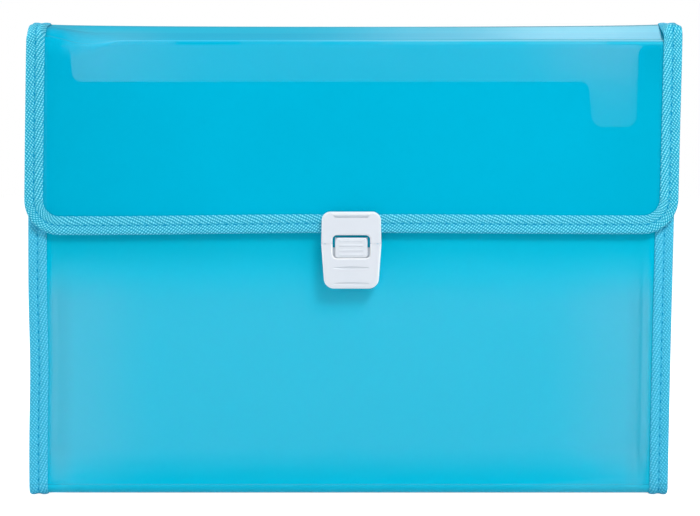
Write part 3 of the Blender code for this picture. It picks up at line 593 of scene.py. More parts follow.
def settle(piece, sags=False, on_lid=False, bowed=False):
    for point in piece.data.vertices:
        x, y, z = point.co / MM
        point.co.x += (lean(z) + waist(x, z)) * MM
        if sags:
            point.co.z += (sag(x, y, z) + corner_lift(x) * bunch(y, z)) * MM
        if on_lid:
            cut = rounded_corner(x, y, z)
            point.co += mm(*(cut * way for way in CORNER_FALL))
        if bowed:
            point.co.z += foot_rise(x, z) * MM


print("a tape stands up by", BUNCH_HEIGHT, "mm at its turn")

# %% [markdown]
# ## Places of the sheets
#
# A creased sheet is a chain of flats and round bends. The places below are those of the middle of the
# plastic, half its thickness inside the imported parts' faces, so that a sheet made along them and
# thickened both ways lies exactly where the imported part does.

# %% Places of the sheets
FRONT_Y, BACK_Y, FLAP_Y = -11.75, 19.65, -15.15
BOTTOM_ARC, TOP_ARC = 4.6, 2.6
BOTTOM_CREASE_Z, BACK_CREASE_Z, FLAP_CREASE_Z = 5.9, 239.1, 231.3
FRONT_FOOT_Z, SHOULDER_Z, FLAP_EDGE_Z = 6.0, 230.3, 134.2
TAPE_PAST_EDGE = 0.9
FOOT_HALF, SHOULDER_HALF, TOP_HALF = 163.5, 164.9, 166.1
SHEET = 0.8

front_bend = (0, FRONT_Y + BOTTOM_ARC, BOTTOM_CREASE_Z)
back_bend = (0, BACK_Y - BOTTOM_ARC, BOTTOM_CREASE_Z)
back_crease = (0, BACK_Y - TOP_ARC, BACK_CREASE_Z)
flap_crease = (0, FLAP_Y + TOP_ARC, FLAP_CREASE_Z)
top_run, top_rise = back_crease[1] - flap_crease[1], back_crease[2] - flap_crease[2]
top_slope = math.degrees(math.atan2(top_rise, top_run))
half_top = math.dist(back_crease, flap_crease) / 2
slope_sine, slope_cosine = math.sin(math.radians(top_slope)), math.cos(math.radians(top_slope))
top_out = Vector((0, -slope_sine, slope_cosine))
top_forward = Vector((0, -slope_cosine, -slope_sine)) * half_top
top_middle = Vector(flap_crease) + top_out * TOP_ARC - top_forward
print("top slopes by", round(top_slope, 2), "degrees")

# %% [markdown]
# ## Cover sheets
#
# Each sheet starts as one row of edges across the case. It is pulled and turned along the path of
# the real sheet's creases, then given its thickness, so the bends come out as round as the real
# ones. The cover is two such sheets here, the shell with half of the top and the flap with the other
# half, because the lid turns at two creases.

# %% A row of edges


def edge_row(name, half, y, z, columns):
    """A row of edges across the case, what is left of a grid when its far side is deleted."""
    drop_selection()
    bpy.ops.mesh.primitive_grid_add(x_subdivisions=columns, y_subdivisions=1, size=1)
    piece = bpy.context.object
    piece.name = piece.data.name = name
    piece.data.attributes.new("along", "FLOAT", "POINT")
    edit(piece)
    choose("VERT", lambda points: points[0].co.y > 0)
    bpy.ops.mesh.delete(type="VERT")
    bpy.ops.mesh.select_all(action="SELECT")
    bpy.ops.transform.resize(value=(2 * half * MM, 1, 1))
    bpy.ops.transform.translate(value=Vector((0, 0.5, 0)) + mm(0, y, z))
    return piece


# %% [markdown]
# ## Marks and painted light in the plastic
#
# No sheet is one even colour. Creasing strains it pale, painted highlights lie along its creases, its
# foot is paler in the corners, and painted shade deepens it where the eye meets it at a low angle,
# under the flap and towards the foot. Each of these is a small rule on places in millimetres, and
# every point of a sheet gets their sum as its note of strain and painted light.

# %% Notes on the plastic
FRONT_CREASE, UNDER_CREASE, REAR_CREASE = (-14.2, 233.6), (-15.3, 232.3), (17.2, 242.1)
FOOT_BAND, CORNER_BAND, CORNER_LIGHT_BAND = (30, 16), (139, 148), (237.5, 240)
LID_TURN_Z, LID_TOP_Z = (233.2, 233.6), 234.2


def note_sheet(piece, coverage_and_painted_light, marks):
    """Notes each point's coverage, and its marks: strain and painted highlights above 0, painted
    shade below 0.
    """
    dense = piece.data.attributes.new("coverage_and_painted_light", "FLOAT", "POINT")
    strain_and_light_notes = piece.data.attributes.new("strain_and_painted_light", "FLOAT", "POINT")
    for number, point in enumerate(piece.data.vertices):
        x, y, z = point.co / MM
        dense.data[number].value = coverage_and_painted_light(x, y, z)
        strain_and_light_notes.data[number].value = marks(x, y, z)
    noted = [note.value for note in strain_and_light_notes.data]
    print(piece.name, "marks", round(min(noted), 2), "to", round(max(noted), 2))


def foot_marks_and_painted_light(x, z):
    """The foot is paler in its corners, with a painted highlight on its crease and painted shade
    above the crease in the middle.
    """
    pale = 0.025 * fade(-x, 110, 140) + 0.045 * fade(x, 90, 127)
    pale += 0.05 * fade(abs(x), *CORNER_BAND)
    pale *= (1 - fade(abs(x), 150, 153.5)) * fade(z, *FOOT_BAND) * (1 - 0.35 * fade(z, 13, 9))
    # A painted highlight along the bottom crease.
    strain_and_painted_light = 0.018 * fade(z, 7, 5) * (1 + 2.5 * fade(x, 80, 120))
    # Painted shade, darker just above the foot in the middle.
    painted_foot_shade = 0.07 * fade(z, 26, 12) * fade(z, 5.5, 8.5) * (1 - fade(abs(x), 110, 148))
    return pale + strain_and_painted_light - painted_foot_shade


def at_left(x):
    """From 0 to 1 on the way to the left tape."""
    return fade(-x, 118, 146)


def onto_lid(x, z):
    """From 0 on the flap to 1 on the lid. Beside the left tape the turn starts lower."""
    low, high = LID_TURN_Z
    return fade(z, low - 9 * at_left(x), high - 2 * at_left(x))


def painted_corner_light(x, z):
    """Painted light that lightens the turn onto the lid at the left."""
    band = onto_lid(x, z) * (1 - fade(z, *CORNER_LIGHT_BAND))
    return 0.11 * band * fade(x, -151, -139) * (1 - fade(x, -122, -85))


def lid_painted_shade(x, y, z):
    """Painted shade on the lid's top, which is seen at a low angle, most of all towards its right
    and its back.
    """
    if z <= LID_TOP_Z or not -10 < y < 16:
        return 0.0
    return (0.2 + 0.12 * fade(y, 6, 13)) * fade(x, -20, 110)


# %% [markdown]
# ## Shell
#
# The shell is the part of the cover from the front's foot, under the case and up its back, to the
# middle of the lid. It could be five flat plates, but then its bends would show seams, so one row is
# walked along the whole path. It widens a little on its way up, as the real case does.

# %% Shell sheet
BACK_STEPS = 10

shell = edge_row("cover_shell", FOOT_HALF, FRONT_Y, BOTTOM_CREASE_Z, 60)
walked = turn(0, front_bend, X_AXIS, 90, BOTTOM_ARC)
walked = pull(walked, (0, back_bend[1] - front_bend[1], 0))
walked = turn(walked, back_bend, X_AXIS, 90, BOTTOM_ARC)
for _ in range(BACK_STEPS):
    walked = pull(walked, (0, 0, (BACK_CREASE_Z - BOTTOM_CREASE_Z) / BACK_STEPS))
    bpy.ops.transform.resize(value=((TOP_HALF / FOOT_HALF) ** (1 / BACK_STEPS), 1, 1))
walked = turn(walked, back_crease, X_AXIS, 90 + top_slope, TOP_ARC)
for share in (0.08, 0.1, 0.82):
    walked = pull(walked, top_forward * share)
drop_selection()
thicken(shell, SHEET)


def shell_coverage(x, y, z):
    """The top and the bottom are seen edge on, through a long stretch of plastic."""
    if z > 236 or (z > 232 and y < 15):
        return 0.97
    return 0.95 if z < 5 else 0.7


def shell_marks_and_painted_light(x, y, z):
    """A painted dark line along the rear crease, which is looked along, darkest at the right."""
    rear_painted_shade = min(1.0, 1.6 * closeness((y, z), REAR_CREASE, 3.4)) * (0.35 + 0.65 * fade(x, 0, 90))
    corner_painted_light = painted_corner_light(x, z) if y < 2 else 0.0
    return foot_marks_and_painted_light(x, z) + corner_painted_light - rear_painted_shade - lid_painted_shade(x, y, z)


note_sheet(shell, shell_coverage, shell_marks_and_painted_light)
settle(shell, sags=True, on_lid=True)
smooth(shell)
made(shell)

# %% [markdown]
# ## Flap
#
# The flap is the rest of the cover: half of the lid, the front crease and the part that hangs down.
# Its two lower corners are rounded for the tape with a vertex bevel, while the sheet is still flat
# and has few points. Only then is it sliced, so that it can bend, sag and bow smoothly.

# %% Flap sheet
FLAP_ROUNDING = 17.1
FLAP_FOOT_Z = FLAP_EDGE_Z + TAPE_PAST_EDGE


def round_chosen(rounding, segments):
    """Rounds the chosen corners."""
    bpy.ops.mesh.bevel(
        offset=rounding * MM, offset_type="OFFSET", affect="VERTICES", segments=segments, profile=0.5
    )


flap = edge_row("cover_flap", TOP_HALF, top_middle.y, top_middle.z, 1)
walked = pull(0, top_forward)
walked = turn(walked, flap_crease, X_AXIS, 90 - top_slope, TOP_ARC)
walked = pull(walked, (0, 0, FLAP_FOOT_Z - FLAP_CREASE_Z))
choose("VERT", lambda points: points[0].co.z < (FLAP_FOOT_Z + 1) * MM)
round_chosen(FLAP_ROUNDING, 10)


def slice_across(axis, start, end, count):
    """Bisects the whole piece by evenly spaced planes, so that it can bend smoothly."""
    for number in range(1, count):
        bpy.ops.mesh.select_all(action="SELECT")
        place = start + (end - start) * number / count
        bpy.ops.mesh.bisect(plane_co=mm(*(place * part for part in axis)), plane_no=axis)


slice_across(X_AXIS, -TOP_HALF, TOP_HALF, 60)
slice_across(Z_AXIS, FLAP_FOOT_Z, FLAP_CREASE_Z, 8)
slice_across(Z_AXIS, 219, FLAP_CREASE_Z, 6)
slice_across(Y_AXIS, FLAP_Y + TOP_ARC, top_middle.y, 12)
drop_selection()
thicken(flap, SHEET)

# %% Notes on the flap


def flap_coverage_and_painted_light(x, y, z):
    """Thinner towards the sides, which paints light coming in from the sides, and, at the right,
    towards the top. The lid is seen edge on.
    """
    # Thinner towards the sides: painted light coming in from the sides.
    thin = 0.75 - 0.16 * fade(-x, 60, 150) - 0.04 * fade(x, 60, 150)
    thin += fade(x, 75, 125) * (0.04 - 0.18 * fade(z, 195, 231))
    return thin + (0.97 - 0.15 * at_left(x) - thin) * onto_lid(x, z)


def flap_marks_and_painted_light(x, y, z):
    """The crease is strained pale and has a painted highlight, with a painted dark line behind it
    and a faint painted highlight below.
    """
    marks = painted_corner_light(x, z) - lid_painted_shade(x, y, z)
    # Strain and a painted highlight on the front crease.
    strain_and_light_weight = (0.2 + 0.6 * fade(x, -60, 60)) * fade(x, -137, -120)
    marks += strain_and_light_weight * closeness((y, z), FRONT_CREASE, 1.0)
    marks += 0.08 * fade(x, -40, 20) * closeness((y, z), UNDER_CREASE, 1.3)
    # A painted dark line just behind the front crease.
    if z > 233.9 and y > -13.5:
        marks -= 1.1 * max(0.0, 1 - abs(y + 12.9) / 2.2) * fade(x, -20, 90)
    # Painted shade across the flap, most of all at its right.
    if y < -14.5 and z < 231:
        marks -= 0.07 * fade(x, -100, 20) + 0.14 * fade(x, 95, 160)
    return marks


note_sheet(flap, flap_coverage_and_painted_light, flap_marks_and_painted_light)
settle(flap, sags=True, on_lid=True, bowed=True)
smooth(flap)
made(flap)

# %% [markdown]
# ## Front panel
#
# The front is a separate panel of the same sheet. Its top is cut away so that papers can be seen,
# with a deeper notch for the thumb at the right. A boolean cut would work, but a die cuts the real
# sheet in one outline, and so it is made here: a flat disc with as many corners as the panel has.
# Each corner is put in its place and rounded with a vertex bevel.

# %% Cutting an outline


def cut_outline(name, corners, y):
    """A flat face at a depth y, with corners (x, z, rounding) in millimetres."""
    drop_selection()
    bpy.ops.mesh.primitive_circle_add(vertices=len(corners), fill_type="NGON")
    piece = bpy.context.object
    piece.name = piece.data.name = name
    for point, (x, z, _) in zip(piece.data.vertices, corners):
        point.co = mm(x, y, z)
    edit(piece)
    for x, z, rounding in corners:
        if rounding:
            choose("VERT", lambda points: (points[0].co - mm(x, y, z)).length < 0.01 * MM)
            round_chosen(rounding, 8)
    return piece


# %% Front sheet
MOUTH_HALF, MOUTH_Z, NOTCH_FOOT_Z, NOTCH_LEFT = 145.05, 212.7, 189.7, 120.05
front_corners = [
    (-FOOT_HALF, FRONT_FOOT_Z, 0),
    (FOOT_HALF, FRONT_FOOT_Z, 0),
    (SHOULDER_HALF, SHOULDER_Z, 3),
    (MOUTH_HALF, SHOULDER_Z, 3),
    (MOUTH_HALF, NOTCH_FOOT_Z, 5.5),
    (NOTCH_LEFT + 2.3, NOTCH_FOOT_Z, 5.5),
    (NOTCH_LEFT, MOUTH_Z, 4),
    (1.8 - MOUTH_HALF, MOUTH_Z, 4.5),
    (-MOUTH_HALF, SHOULDER_Z, 3),
    (-SHOULDER_HALF, SHOULDER_Z, 3),
]
front = cut_outline("cover_front", front_corners, FRONT_Y)
slice_across(Z_AXIS, FRONT_FOOT_Z, SHOULDER_Z, 60)
slice_across(X_AXIS, -FOOT_HALF, FOOT_HALF, 150)
drop_selection()
thicken(front, SHEET)


def front_coverage_and_painted_light(x, y, z):
    """Denser under the flap, towards the foot and along the tapes, which paints shade in the pockets,
    and thinner beside them, which paints light coming in from the sides.
    """
    dense = 0.68 + 0.2 * fade(z, 96, 132) + 0.24 * fade(z, 27, 3)
    # Thinner towards the sides: painted light coming into the pockets from the sides.
    side = 0.13 * fade(abs(x), 95, 145) + 0.08 * fade(abs(x), 140, 148)
    side *= fade(z, -6, 10) * fade(z, 130, 98)
    # Denser along the tapes: a painted contact shade.
    painted_tape_shade = 0.2 * fade(abs(x), 152.4, 154.6)
    return dense - side + painted_tape_shade


def front_marks_and_painted_light(x, y, z):
    """A painted soft shadow of the flap's foot on the front."""
    shade = (0.22 + 0.1 * fade(-x, 0, 110)) * fade(z, 112, 131) * (1 - fade(z, 131, 140))
    return foot_marks_and_painted_light(x, z) + painted_corner_light(x, z) - shade


note_sheet(front, front_coverage_and_painted_light, front_marks_and_painted_light)
settle(front)
smooth(front)
made(front)

# %% [markdown]
# ## Binding tapes
#
# A tape is folded lengthwise round the edge of the sheet and sewn through both leaves. Its section is
# a ring of points, a circle pushed into shape: the front leaf with the dip of the seam along its
# middle, the fold, the rear leaf, and the slit that the sheet sits in. A curve with a bevel could
# carry it too, but the ring is walked round the case like the sheets, so that it bends with them,
# and each point keeps its place across the tape while it goes.

# %% Section of a folded tape
SEAM_REACH, SEAM_OUT = -3.85, 0.90
LEAF_LINE = [
    (-8.60, 0.50), (-8.68, 0.72), (-8.48, 0.96), (-7.60, 1.16), (-6.30, 1.27), (-5.10, 1.18),
    (-4.35, 1.02), (SEAM_REACH, SEAM_OUT), (-3.35, 1.02), (-2.60, 1.18), (-1.40, 1.28), (-0.40, 1.24),
    (0.25, 1.08), (0.64, 0.80), (0.84, 0.42),
]
FOLD_POINT = (0.90, 0.0)
SLIT_LINE = [
    (-8.45, -0.45), (-4.0, -0.45), (0.25, -0.45), (0.42, 0.0), (0.25, 0.45), (-4.0, 0.45),
    (-8.45, 0.45),
]
rear_leaf = [(reach, -out) for reach, out in reversed(LEAF_LINE)]
tape_section = LEAF_LINE + [FOLD_POINT] + rear_leaf + SLIT_LINE
across_tape = [0.0]
for before, after in zip(tape_section, tape_section[1:]):
    across_tape.append(across_tape[-1] + math.dist(before, after))
full_width = across_tape[len(LEAF_LINE) * 2]
for number, (reach, out) in enumerate(SLIT_LINE):
    flat = reach - LEAF_LINE[0][0]
    across_tape[len(LEAF_LINE) * 2 + 1 + number] = full_width - flat if out < 0 else flat
seam_across = across_tape[LEAF_LINE.index((SEAM_REACH, SEAM_OUT))]
print("tape", len(tape_section), "points round,", round(full_width, 1), "mm wide when flat")

# %% Starting a tape


def tape_ring(name, place, side):
    """Starts a tape with its section at a place, folded over the edge that looks to this side."""
    drop_selection()
    bpy.ops.mesh.primitive_circle_add(vertices=len(tape_section), fill_type="NOTHING")
    piece = bpy.context.object
    piece.name = piece.data.name = name
    for point, (reach, out) in zip(piece.data.vertices, tape_section):
        point.co = mm(*place) + Vector((side * reach, -out, 0)) * MM
    piece.data.attributes.new("along", "FLOAT", "POINT")
    across = piece.data.attributes.new("across", "FLOAT", "POINT")
    across.data.foreach_set("value", across_tape)
    edit(piece)
    bpy.ops.mesh.select_all(action="SELECT")
    return piece


def end_of(distance):
    """Chooses the ring that lies this far along."""
    along = bmesh.from_edit_mesh(bpy.context.edit_object.data).verts.layers.float["along"]
    return choose("VERT", lambda points: abs(points[0][along] - distance) < 0.001)


# %% Rings, seam and weave
RING_PITCH, STITCH_PITCH = 1.2, 4.5
SEAM_PINCH, SEAM_SPREAD = 0.26, 2.4


def close_rings(pitch):
    """Halves every long stretch until the rings are closer than the pitch."""
    while True:
        along = bmesh.from_edit_mesh(bpy.context.edit_object.data).verts.layers.float["along"]
        if not choose("EDGE", lambda points: abs(points[0][along] - points[1][along]) > pitch):
            return
        bpy.ops.mesh.subdivide(number_cuts=1)


def seam_pinch(along, across):
    """How far a stitch draws the tape in, most of all halfway along it."""
    off_seam = min(abs(across - seam_across), abs(full_width - across - seam_across))
    drawn_in = 0.5 - 0.5 * math.cos(2 * math.pi * along / STITCH_PITCH)
    return SEAM_PINCH * max(0.0, 1 - off_seam / SEAM_SPREAD) * drawn_in


def raised(x, y, z, across):
    """How far the turn over the front crease stands up. The outer leaf stands up most."""
    outer = ratio(0.55 * full_width - across, 0, 0.1 * full_width)
    outer *= fade(across, -2.5 - 3 * fade(-x, 0, 1), 3.6)
    return bunch(y, z) * max(outer, corner_lift(x)) * (1 - 0.13 * fade(across, 5, 9.5))


def tape_notes(mesh):
    """Each point's place along the tape and across it."""
    notes = []
    for name in ("along", "across"):
        values = [0.0] * len(mesh.vertices)
        mesh.attributes[name].data.foreach_get("value", values)
        notes.append(values)
    return notes


# %% Finishing a tape


def finish_tape(piece, ends, cloth, bunched=True, bowed=False):
    """Closes the ends, adds rings, draws the seam in at each stitch and notes the weave."""
    for distance in ends:
        end_of(distance)
        bpy.ops.mesh.edge_face_add()
    close_rings(RING_PITCH)
    bpy.ops.mesh.select_all(action="SELECT")
    bpy.ops.mesh.normals_make_consistent(inside=False)
    drop_selection()
    mesh = piece.data
    along, across = tape_notes(mesh)
    weave = mesh.attributes.new("weave", "FLOAT_VECTOR", "POINT")
    for number, point in enumerate(mesh.vertices):
        x, _, z = point.co / MM
        stretch = math.copysign(BUNCH_HEIGHT * on_flap(z), x) if bunched else 0.0
        weave.data[number].vector = mm(along[number] + stretch, across[number], 0)
    normals = [point.normal.copy() for point in mesh.vertices]
    lifts = []
    for number, point in enumerate(mesh.vertices):
        point.co -= normals[number] * seam_pinch(along[number], across[number]) * MM
        lifts.append(raised(*point.co / MM, across[number]) * MM if bunched else 0.0)
    settle(piece, on_lid=bunched, bowed=bowed)
    for point, lift in zip(mesh.vertices, lifts):
        point.co.z += lift
    smooth(piece, 60)
    piece.data.materials.append(cloth)
    made(piece)


# %% Flap tape
flap_tape = tape_ring("tape_flap", (-TOP_HALF, FLAP_Y, FLAP_CREASE_Z), -1)
corner_x, corner_z = TOP_HALF - FLAP_ROUNDING, FLAP_FOOT_Z + FLAP_ROUNDING
walked = pull(0, (0, 0, corner_z - FLAP_CREASE_Z))
walked = turn(walked, (-corner_x, FLAP_Y, corner_z), Y_AXIS, -90, FLAP_ROUNDING, steps=16)
walked = pull(walked, (2 * corner_x, 0, 0))
walked = turn(walked, (corner_x, FLAP_Y, corner_z), Y_AXIS, -90, FLAP_ROUNDING, steps=16)
walked = pull(walked, (0, 0, FLAP_CREASE_Z - corner_z))
walked = turn(walked, flap_crease, X_AXIS, top_slope - 90, TOP_ARC)
right_end = pull(walked, -top_forward)
end_of(0)
walked = turn(0, flap_crease, X_AXIS, top_slope - 90, TOP_ARC, sense=-1)
left_end = pull(walked, -top_forward, sense=-1)
finish_tape(flap_tape, (left_end, right_end), tape_cloth, bowed=True)

# %% Shell and front tapes
shell_tapes, front_tapes = [], []
for side, word in ((-1, "left"), (1, "right")):
    sense = -side
    tape = tape_ring(f"tape_shell_{word}", (side * FOOT_HALF, FRONT_Y, BOTTOM_CREASE_Z), side)
    walked = turn(0, front_bend, X_AXIS, 90, BOTTOM_ARC, sense)
    walked = pull(walked, (0, back_bend[1] - front_bend[1], 0), sense)
    walked = turn(walked, back_bend, X_AXIS, 90, BOTTOM_ARC, sense)
    rise = (side * (TOP_HALF - FOOT_HALF), 0, BACK_CREASE_Z - BOTTOM_CREASE_Z)
    walked = pull(walked, rise, sense)
    walked = turn(walked, back_crease, X_AXIS, 90 + top_slope, TOP_ARC, sense)
    walked = pull(walked, top_forward, sense)
    finish_tape(tape, (0, walked), worn_cloth)
    shell_tapes.append(tape)

    tape = tape_ring(f"tape_front_{word}", (side * FOOT_HALF, FRONT_Y, FRONT_FOOT_Z), side)
    rise = (side * (SHOULDER_HALF - FOOT_HALF), 0, SHOULDER_Z - FRONT_FOOT_Z)
    walked = pull(0, rise, side)
    finish_tape(tape, (0, walked), worn_cloth, bunched=False)
    front_tapes.append(tape)

# %% [markdown]
# ## Sewing
#
# One thread holds both leaves of each tape. It shows as a row of short stitches, each lying in a dip
# of the seam. One stitch is made, a small pressed ball of few faces, because there are hundreds, and
# each copy is turned to lie along the seam where it belongs.

# %% Stitches
STITCH_HALF = (1.25, 0.34, 0.22)


def sew(piece):
    """Lays one stitch in each dip of the seam, on both leaves of the tape, and joins them to it."""
    mesh = piece.data
    along, across = tape_notes(mesh)
    sewn = [piece]
    for line in (seam_across, full_width - seam_across):
        seam = sorted((along[n], n) for n in range(len(along)) if abs(across[n] - line) < 0.01)
        wanted = math.ceil(seam[0][0] / STITCH_PITCH) * STITCH_PITCH + STITCH_PITCH / 2
        for (start, first), (end, second) in zip(seam, seam[1:]):
            if end < wanted:
                continue
            here, there = mesh.vertices[first], mesh.vertices[second]
            share = (wanted - start) / (end - start)
            wanted += STITCH_PITCH
            way = (there.co - here.co).normalized()
            up = (here.normal - way * here.normal.dot(way)).normalized()
            stitch = bpy.data.objects.new("stitch", one_stitch.data.copy())
            scene.collection.objects.link(stitch)
            frame_here = Matrix((way, up.cross(way), up)).transposed().to_4x4()
            stitch.matrix_world = Matrix.Translation(here.co.lerp(there.co, share)) @ frame_here
            sewn.append(stitch)
    drop_selection()
    for part in sewn:
        part.select_set(True)
    bpy.context.view_layer.objects.active = piece
    bpy.ops.object.join()
    print(piece.name, "stitches", len(sewn) - 1)


drop_selection()
bpy.ops.mesh.primitive_uv_sphere_add(segments=6, ring_count=5, radius=MM)
one_stitch = bpy.context.object
one_stitch.name = "one_stitch"
edit_all(one_stitch)
bpy.ops.transform.resize(value=STITCH_HALF)
drop_selection()
one_stitch.data.materials.append(thread)
bpy.ops.object.select_all(action="DESELECT")
smooth(one_stitch, 80)
for tape in (flap_tape, *shell_tapes, *front_tapes):
    sew(tape)
bpy.data.objects.remove(one_stitch)

# %% [markdown]
# ## Gussets
#
# On the real case one folded film on each side joins the panels and dividers, and opens like an
# accordion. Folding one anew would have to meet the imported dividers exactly, so each packed pleat is
# copied, its loose faces are merged, and it is sliced so that it can follow the lean. It bends
# between the two sheets that it joins.

# %% Pleats
DIVIDER_FACES_Y = (-11.35, -5.55, 0.65, 6.85, 13.05, 19.25)
WELD_HOLD = 1.2
POCKET_BODIES = ("front", "divider_1", "divider_2", "divider_3", "divider_4", "case")
pleats = []
for word in ("left", "right"):
    for number in range(1, 6):
        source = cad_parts[f"gusset_{word}_{number}"]
        pleat = bpy.data.objects.new(f"pleat_{word}_{number}", source.data.copy())
        scene.collection.objects.link(pleat)
        pleat.data.materials.clear()
        pleat.data.materials.append(film_plastic)
        edit_all(pleat)
        bpy.ops.mesh.remove_doubles(threshold=0.01 * MM)
        slice_across(Z_AXIS, FRONT_FOOT_Z, SHOULDER_Z, 6)
        drop_selection()
        settle(pleat)
        smooth(pleat)
        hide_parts(source.name)
        first_y, last_y = DIVIDER_FACES_Y[number - 1] + WELD_HOLD, DIVIDER_FACES_Y[number] - WELD_HOLD
        opens = {"start": mm(0, first_y, 0), "end": mm(0, last_y, 0)}
        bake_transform(pleat, POCKET_BODIES[number - 1], POCKET_BODIES[number], **opens)
        pleats.append(pleat)
made(pleats[0])

# %% [markdown]
# ## Clasp
#
# The clasp is moulded in stiff white plastic: a shell on the flap, a longer shell on the front
# panel, and a ribbed button that looks out of the window between them. Each shell starts as its
# outline, is pulled to its depth, gets rounded edges as the mould gives them, and is hollowed from
# behind. The outline comes first because the camera looks straight at it.

# %% Plates with rounded edges
CLASP_FRONT_Y, INNER_WALL_Y, UPPER_RIM_Y, LOWER_RIM_Y = -20.95, -19.75, -16.75, -12.45
EDGE_ROUNDING, PARTING_ROUNDING, OVERRUN = 0.95, 0.4, 0.4


def deepen(depth):
    """Pulls the flat outline in edit mode back to its depth, in millimetres."""
    bpy.ops.mesh.select_all(action="SELECT")
    bpy.ops.mesh.extrude_region_move(TRANSFORM_OT_translate={"value": mm(0, depth, 0)})
    bpy.ops.mesh.select_all(action="SELECT")
    bpy.ops.mesh.normals_make_consistent(inside=False)


def block(name, corners, first_y, last_y):
    """A plate between two depths, from corners (x, z, rounding)."""
    piece = cut_outline(name, corners, first_y)
    deepen(last_y - first_y)
    drop_selection()
    return piece


def round_front(piece, radius, wanted, front=CLASP_FRONT_Y):
    """Bevels the edges of the front face whose heights, lowest and highest, pass the test."""
    edit(piece)

    def in_front(points):
        heights = [point.co.z / MM for point in points]
        flush = all(abs(point.co.y / MM - front) < 0.01 for point in points)
        return flush and wanted(min(heights), max(heights))

    count = choose("EDGE", in_front)
    bpy.ops.mesh.bevel(offset=radius * MM, segments=4, profile=0.5, affect="EDGES")
    drop_selection()
    print(piece.name, "rounded edges", count)


def paint_rim_highlight(piece, front, cuts, above=0):
    """Paints a highlight on the rounded edges, but not on the cuts (low, high) in the face."""
    painted_rim_highlight = piece.data.attributes.new("painted_rim_highlight", "FLOAT", "POINT")
    for number, point in enumerate(piece.data.vertices):
        x, y, z = point.co / MM
        in_cut = abs(x) < 9.4 and any(low < z < high for low, high in cuts)
        if front + 0.02 < y < front + EDGE_ROUNDING + 0.1 and z > above and not in_cut:
            painted_rim_highlight.data[number].value = min(1.0, 2.5 * (1 - abs(point.normal.y)))


# %% Cutting tools


def carve(piece, tool, operation="DIFFERENCE"):
    """Cuts the tool's form out of the piece, or joins it on, and takes the tool away."""
    cut = piece.modifiers.new("cut", "BOOLEAN")
    cut.operation = operation
    cut.solver = "EXACT"
    cut.object = tool
    apply_modifiers(piece)
    bpy.data.objects.remove(tool)


def bean(name, place, half_length, out, up):
    """A long rounded form that lies across the clasp, to cut a groove with."""
    drop_selection()
    bpy.ops.mesh.primitive_uv_sphere_add(segments=24, ring_count=24, radius=MM, location=mm(*place))
    piece = bpy.context.object
    piece.name = piece.data.name = name
    edit_all(piece)
    bpy.ops.transform.resize(value=(half_length, out, up), center_override=mm(*place))
    drop_selection()
    return piece


def bar(name, place, radius, half_length, out=1.0):
    """A round bar across the clasp, pressed flatter when out is under 1."""
    drop_selection()
    bpy.ops.mesh.primitive_cylinder_add(
        vertices=20, radius=radius * MM, depth=2 * half_length * MM, location=mm(*place),
        rotation=(0, math.pi / 2, 0),
    )
    piece = bpy.context.object
    piece.name = piece.data.name = name
    bpy.ops.object.transform_apply(location=True, rotation=True, scale=True)
    edit_all(piece)
    bpy.ops.transform.resize(value=(1, out, 1), center_override=mm(*place))
    drop_selection()
    return piece


# %% Finishing a moulding


def finish_clasp(piece, body, node):
    """Flattens the shading of its flat faces, and gives it its finish and its place."""
    edit_all(piece)
    bpy.ops.mesh.normals_make_consistent(inside=False)
    drop_selection()
    smooth(piece, 40)
    flat_faces = piece.modifiers.new("flat_faces", "WEIGHTED_NORMAL")
    flat_faces.weight = 100
    flat_faces.keep_sharp = True
    apply_modifiers(piece)
    piece.data.materials.clear()
    piece.data.materials.append(clasp_plastic)
    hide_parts(node)
    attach(piece, body)
    made(piece)


# %% [markdown]
# ### Upper half
#
# The upper half is riveted to the flap. It has a shallow recess at its top, for a fingertip, and two
# prongs that reach down behind the button's ears. The recess is a plate with a curved floor, bent
# by moving its rows back one by one and then cut out.

# %% Upper shell
CLASP_TOP_Z, CLASP_HALF, CLASP_TOP_HALF, TOP_ROUNDING = 146.7, 15.35, 15.0, 4.3
UPPER_FOOT_Z, LOWER_TOP_Z = 130.5, 130.25
WINDOW_HALF, WINDOW_TOP_Z, WINDOW_FOOT_Z, WINDOW_ROUNDING = 9.55, 134.8, 123.1, 2.2

window_sides = [
    (WINDOW_HALF, UPPER_FOOT_Z, 0),
    (WINDOW_HALF, WINDOW_TOP_Z, WINDOW_ROUNDING),
    (-WINDOW_HALF, WINDOW_TOP_Z, WINDOW_ROUNDING),
    (-WINDOW_HALF, UPPER_FOOT_Z, 0),
]
upper_corners = [
    (-CLASP_HALF, UPPER_FOOT_Z, 0),
    (-CLASP_TOP_HALF, CLASP_TOP_Z, TOP_ROUNDING),
    (CLASP_TOP_HALF, CLASP_TOP_Z, TOP_ROUNDING),
    (CLASP_HALF, UPPER_FOOT_Z, 0),
]
upper_clasp = block("clasp_upper", upper_corners + window_sides, CLASP_FRONT_Y, UPPER_RIM_Y)
round_front(upper_clasp, EDGE_ROUNDING, lambda low, high: high > UPPER_FOOT_Z + 0.05)
round_front(upper_clasp, PARTING_ROUNDING, lambda low, high: high < UPPER_FOOT_Z + 0.05)
hollow = [(-14.15, 131.75, 0), (-14.15, 145.5, 3.2), (14.15, 145.5, 3.2), (14.15, 131.75, 0)]
carve(upper_clasp, block("upper_hollow", hollow, INNER_WALL_Y, UPPER_RIM_Y + OVERRUN))

# %% Recess
RECESS_TOP_Z, RECESS_FOOT_Z, RECESS_DEPTH, RECESS_ROWS = 146.1, 143.8, 1.1, 8

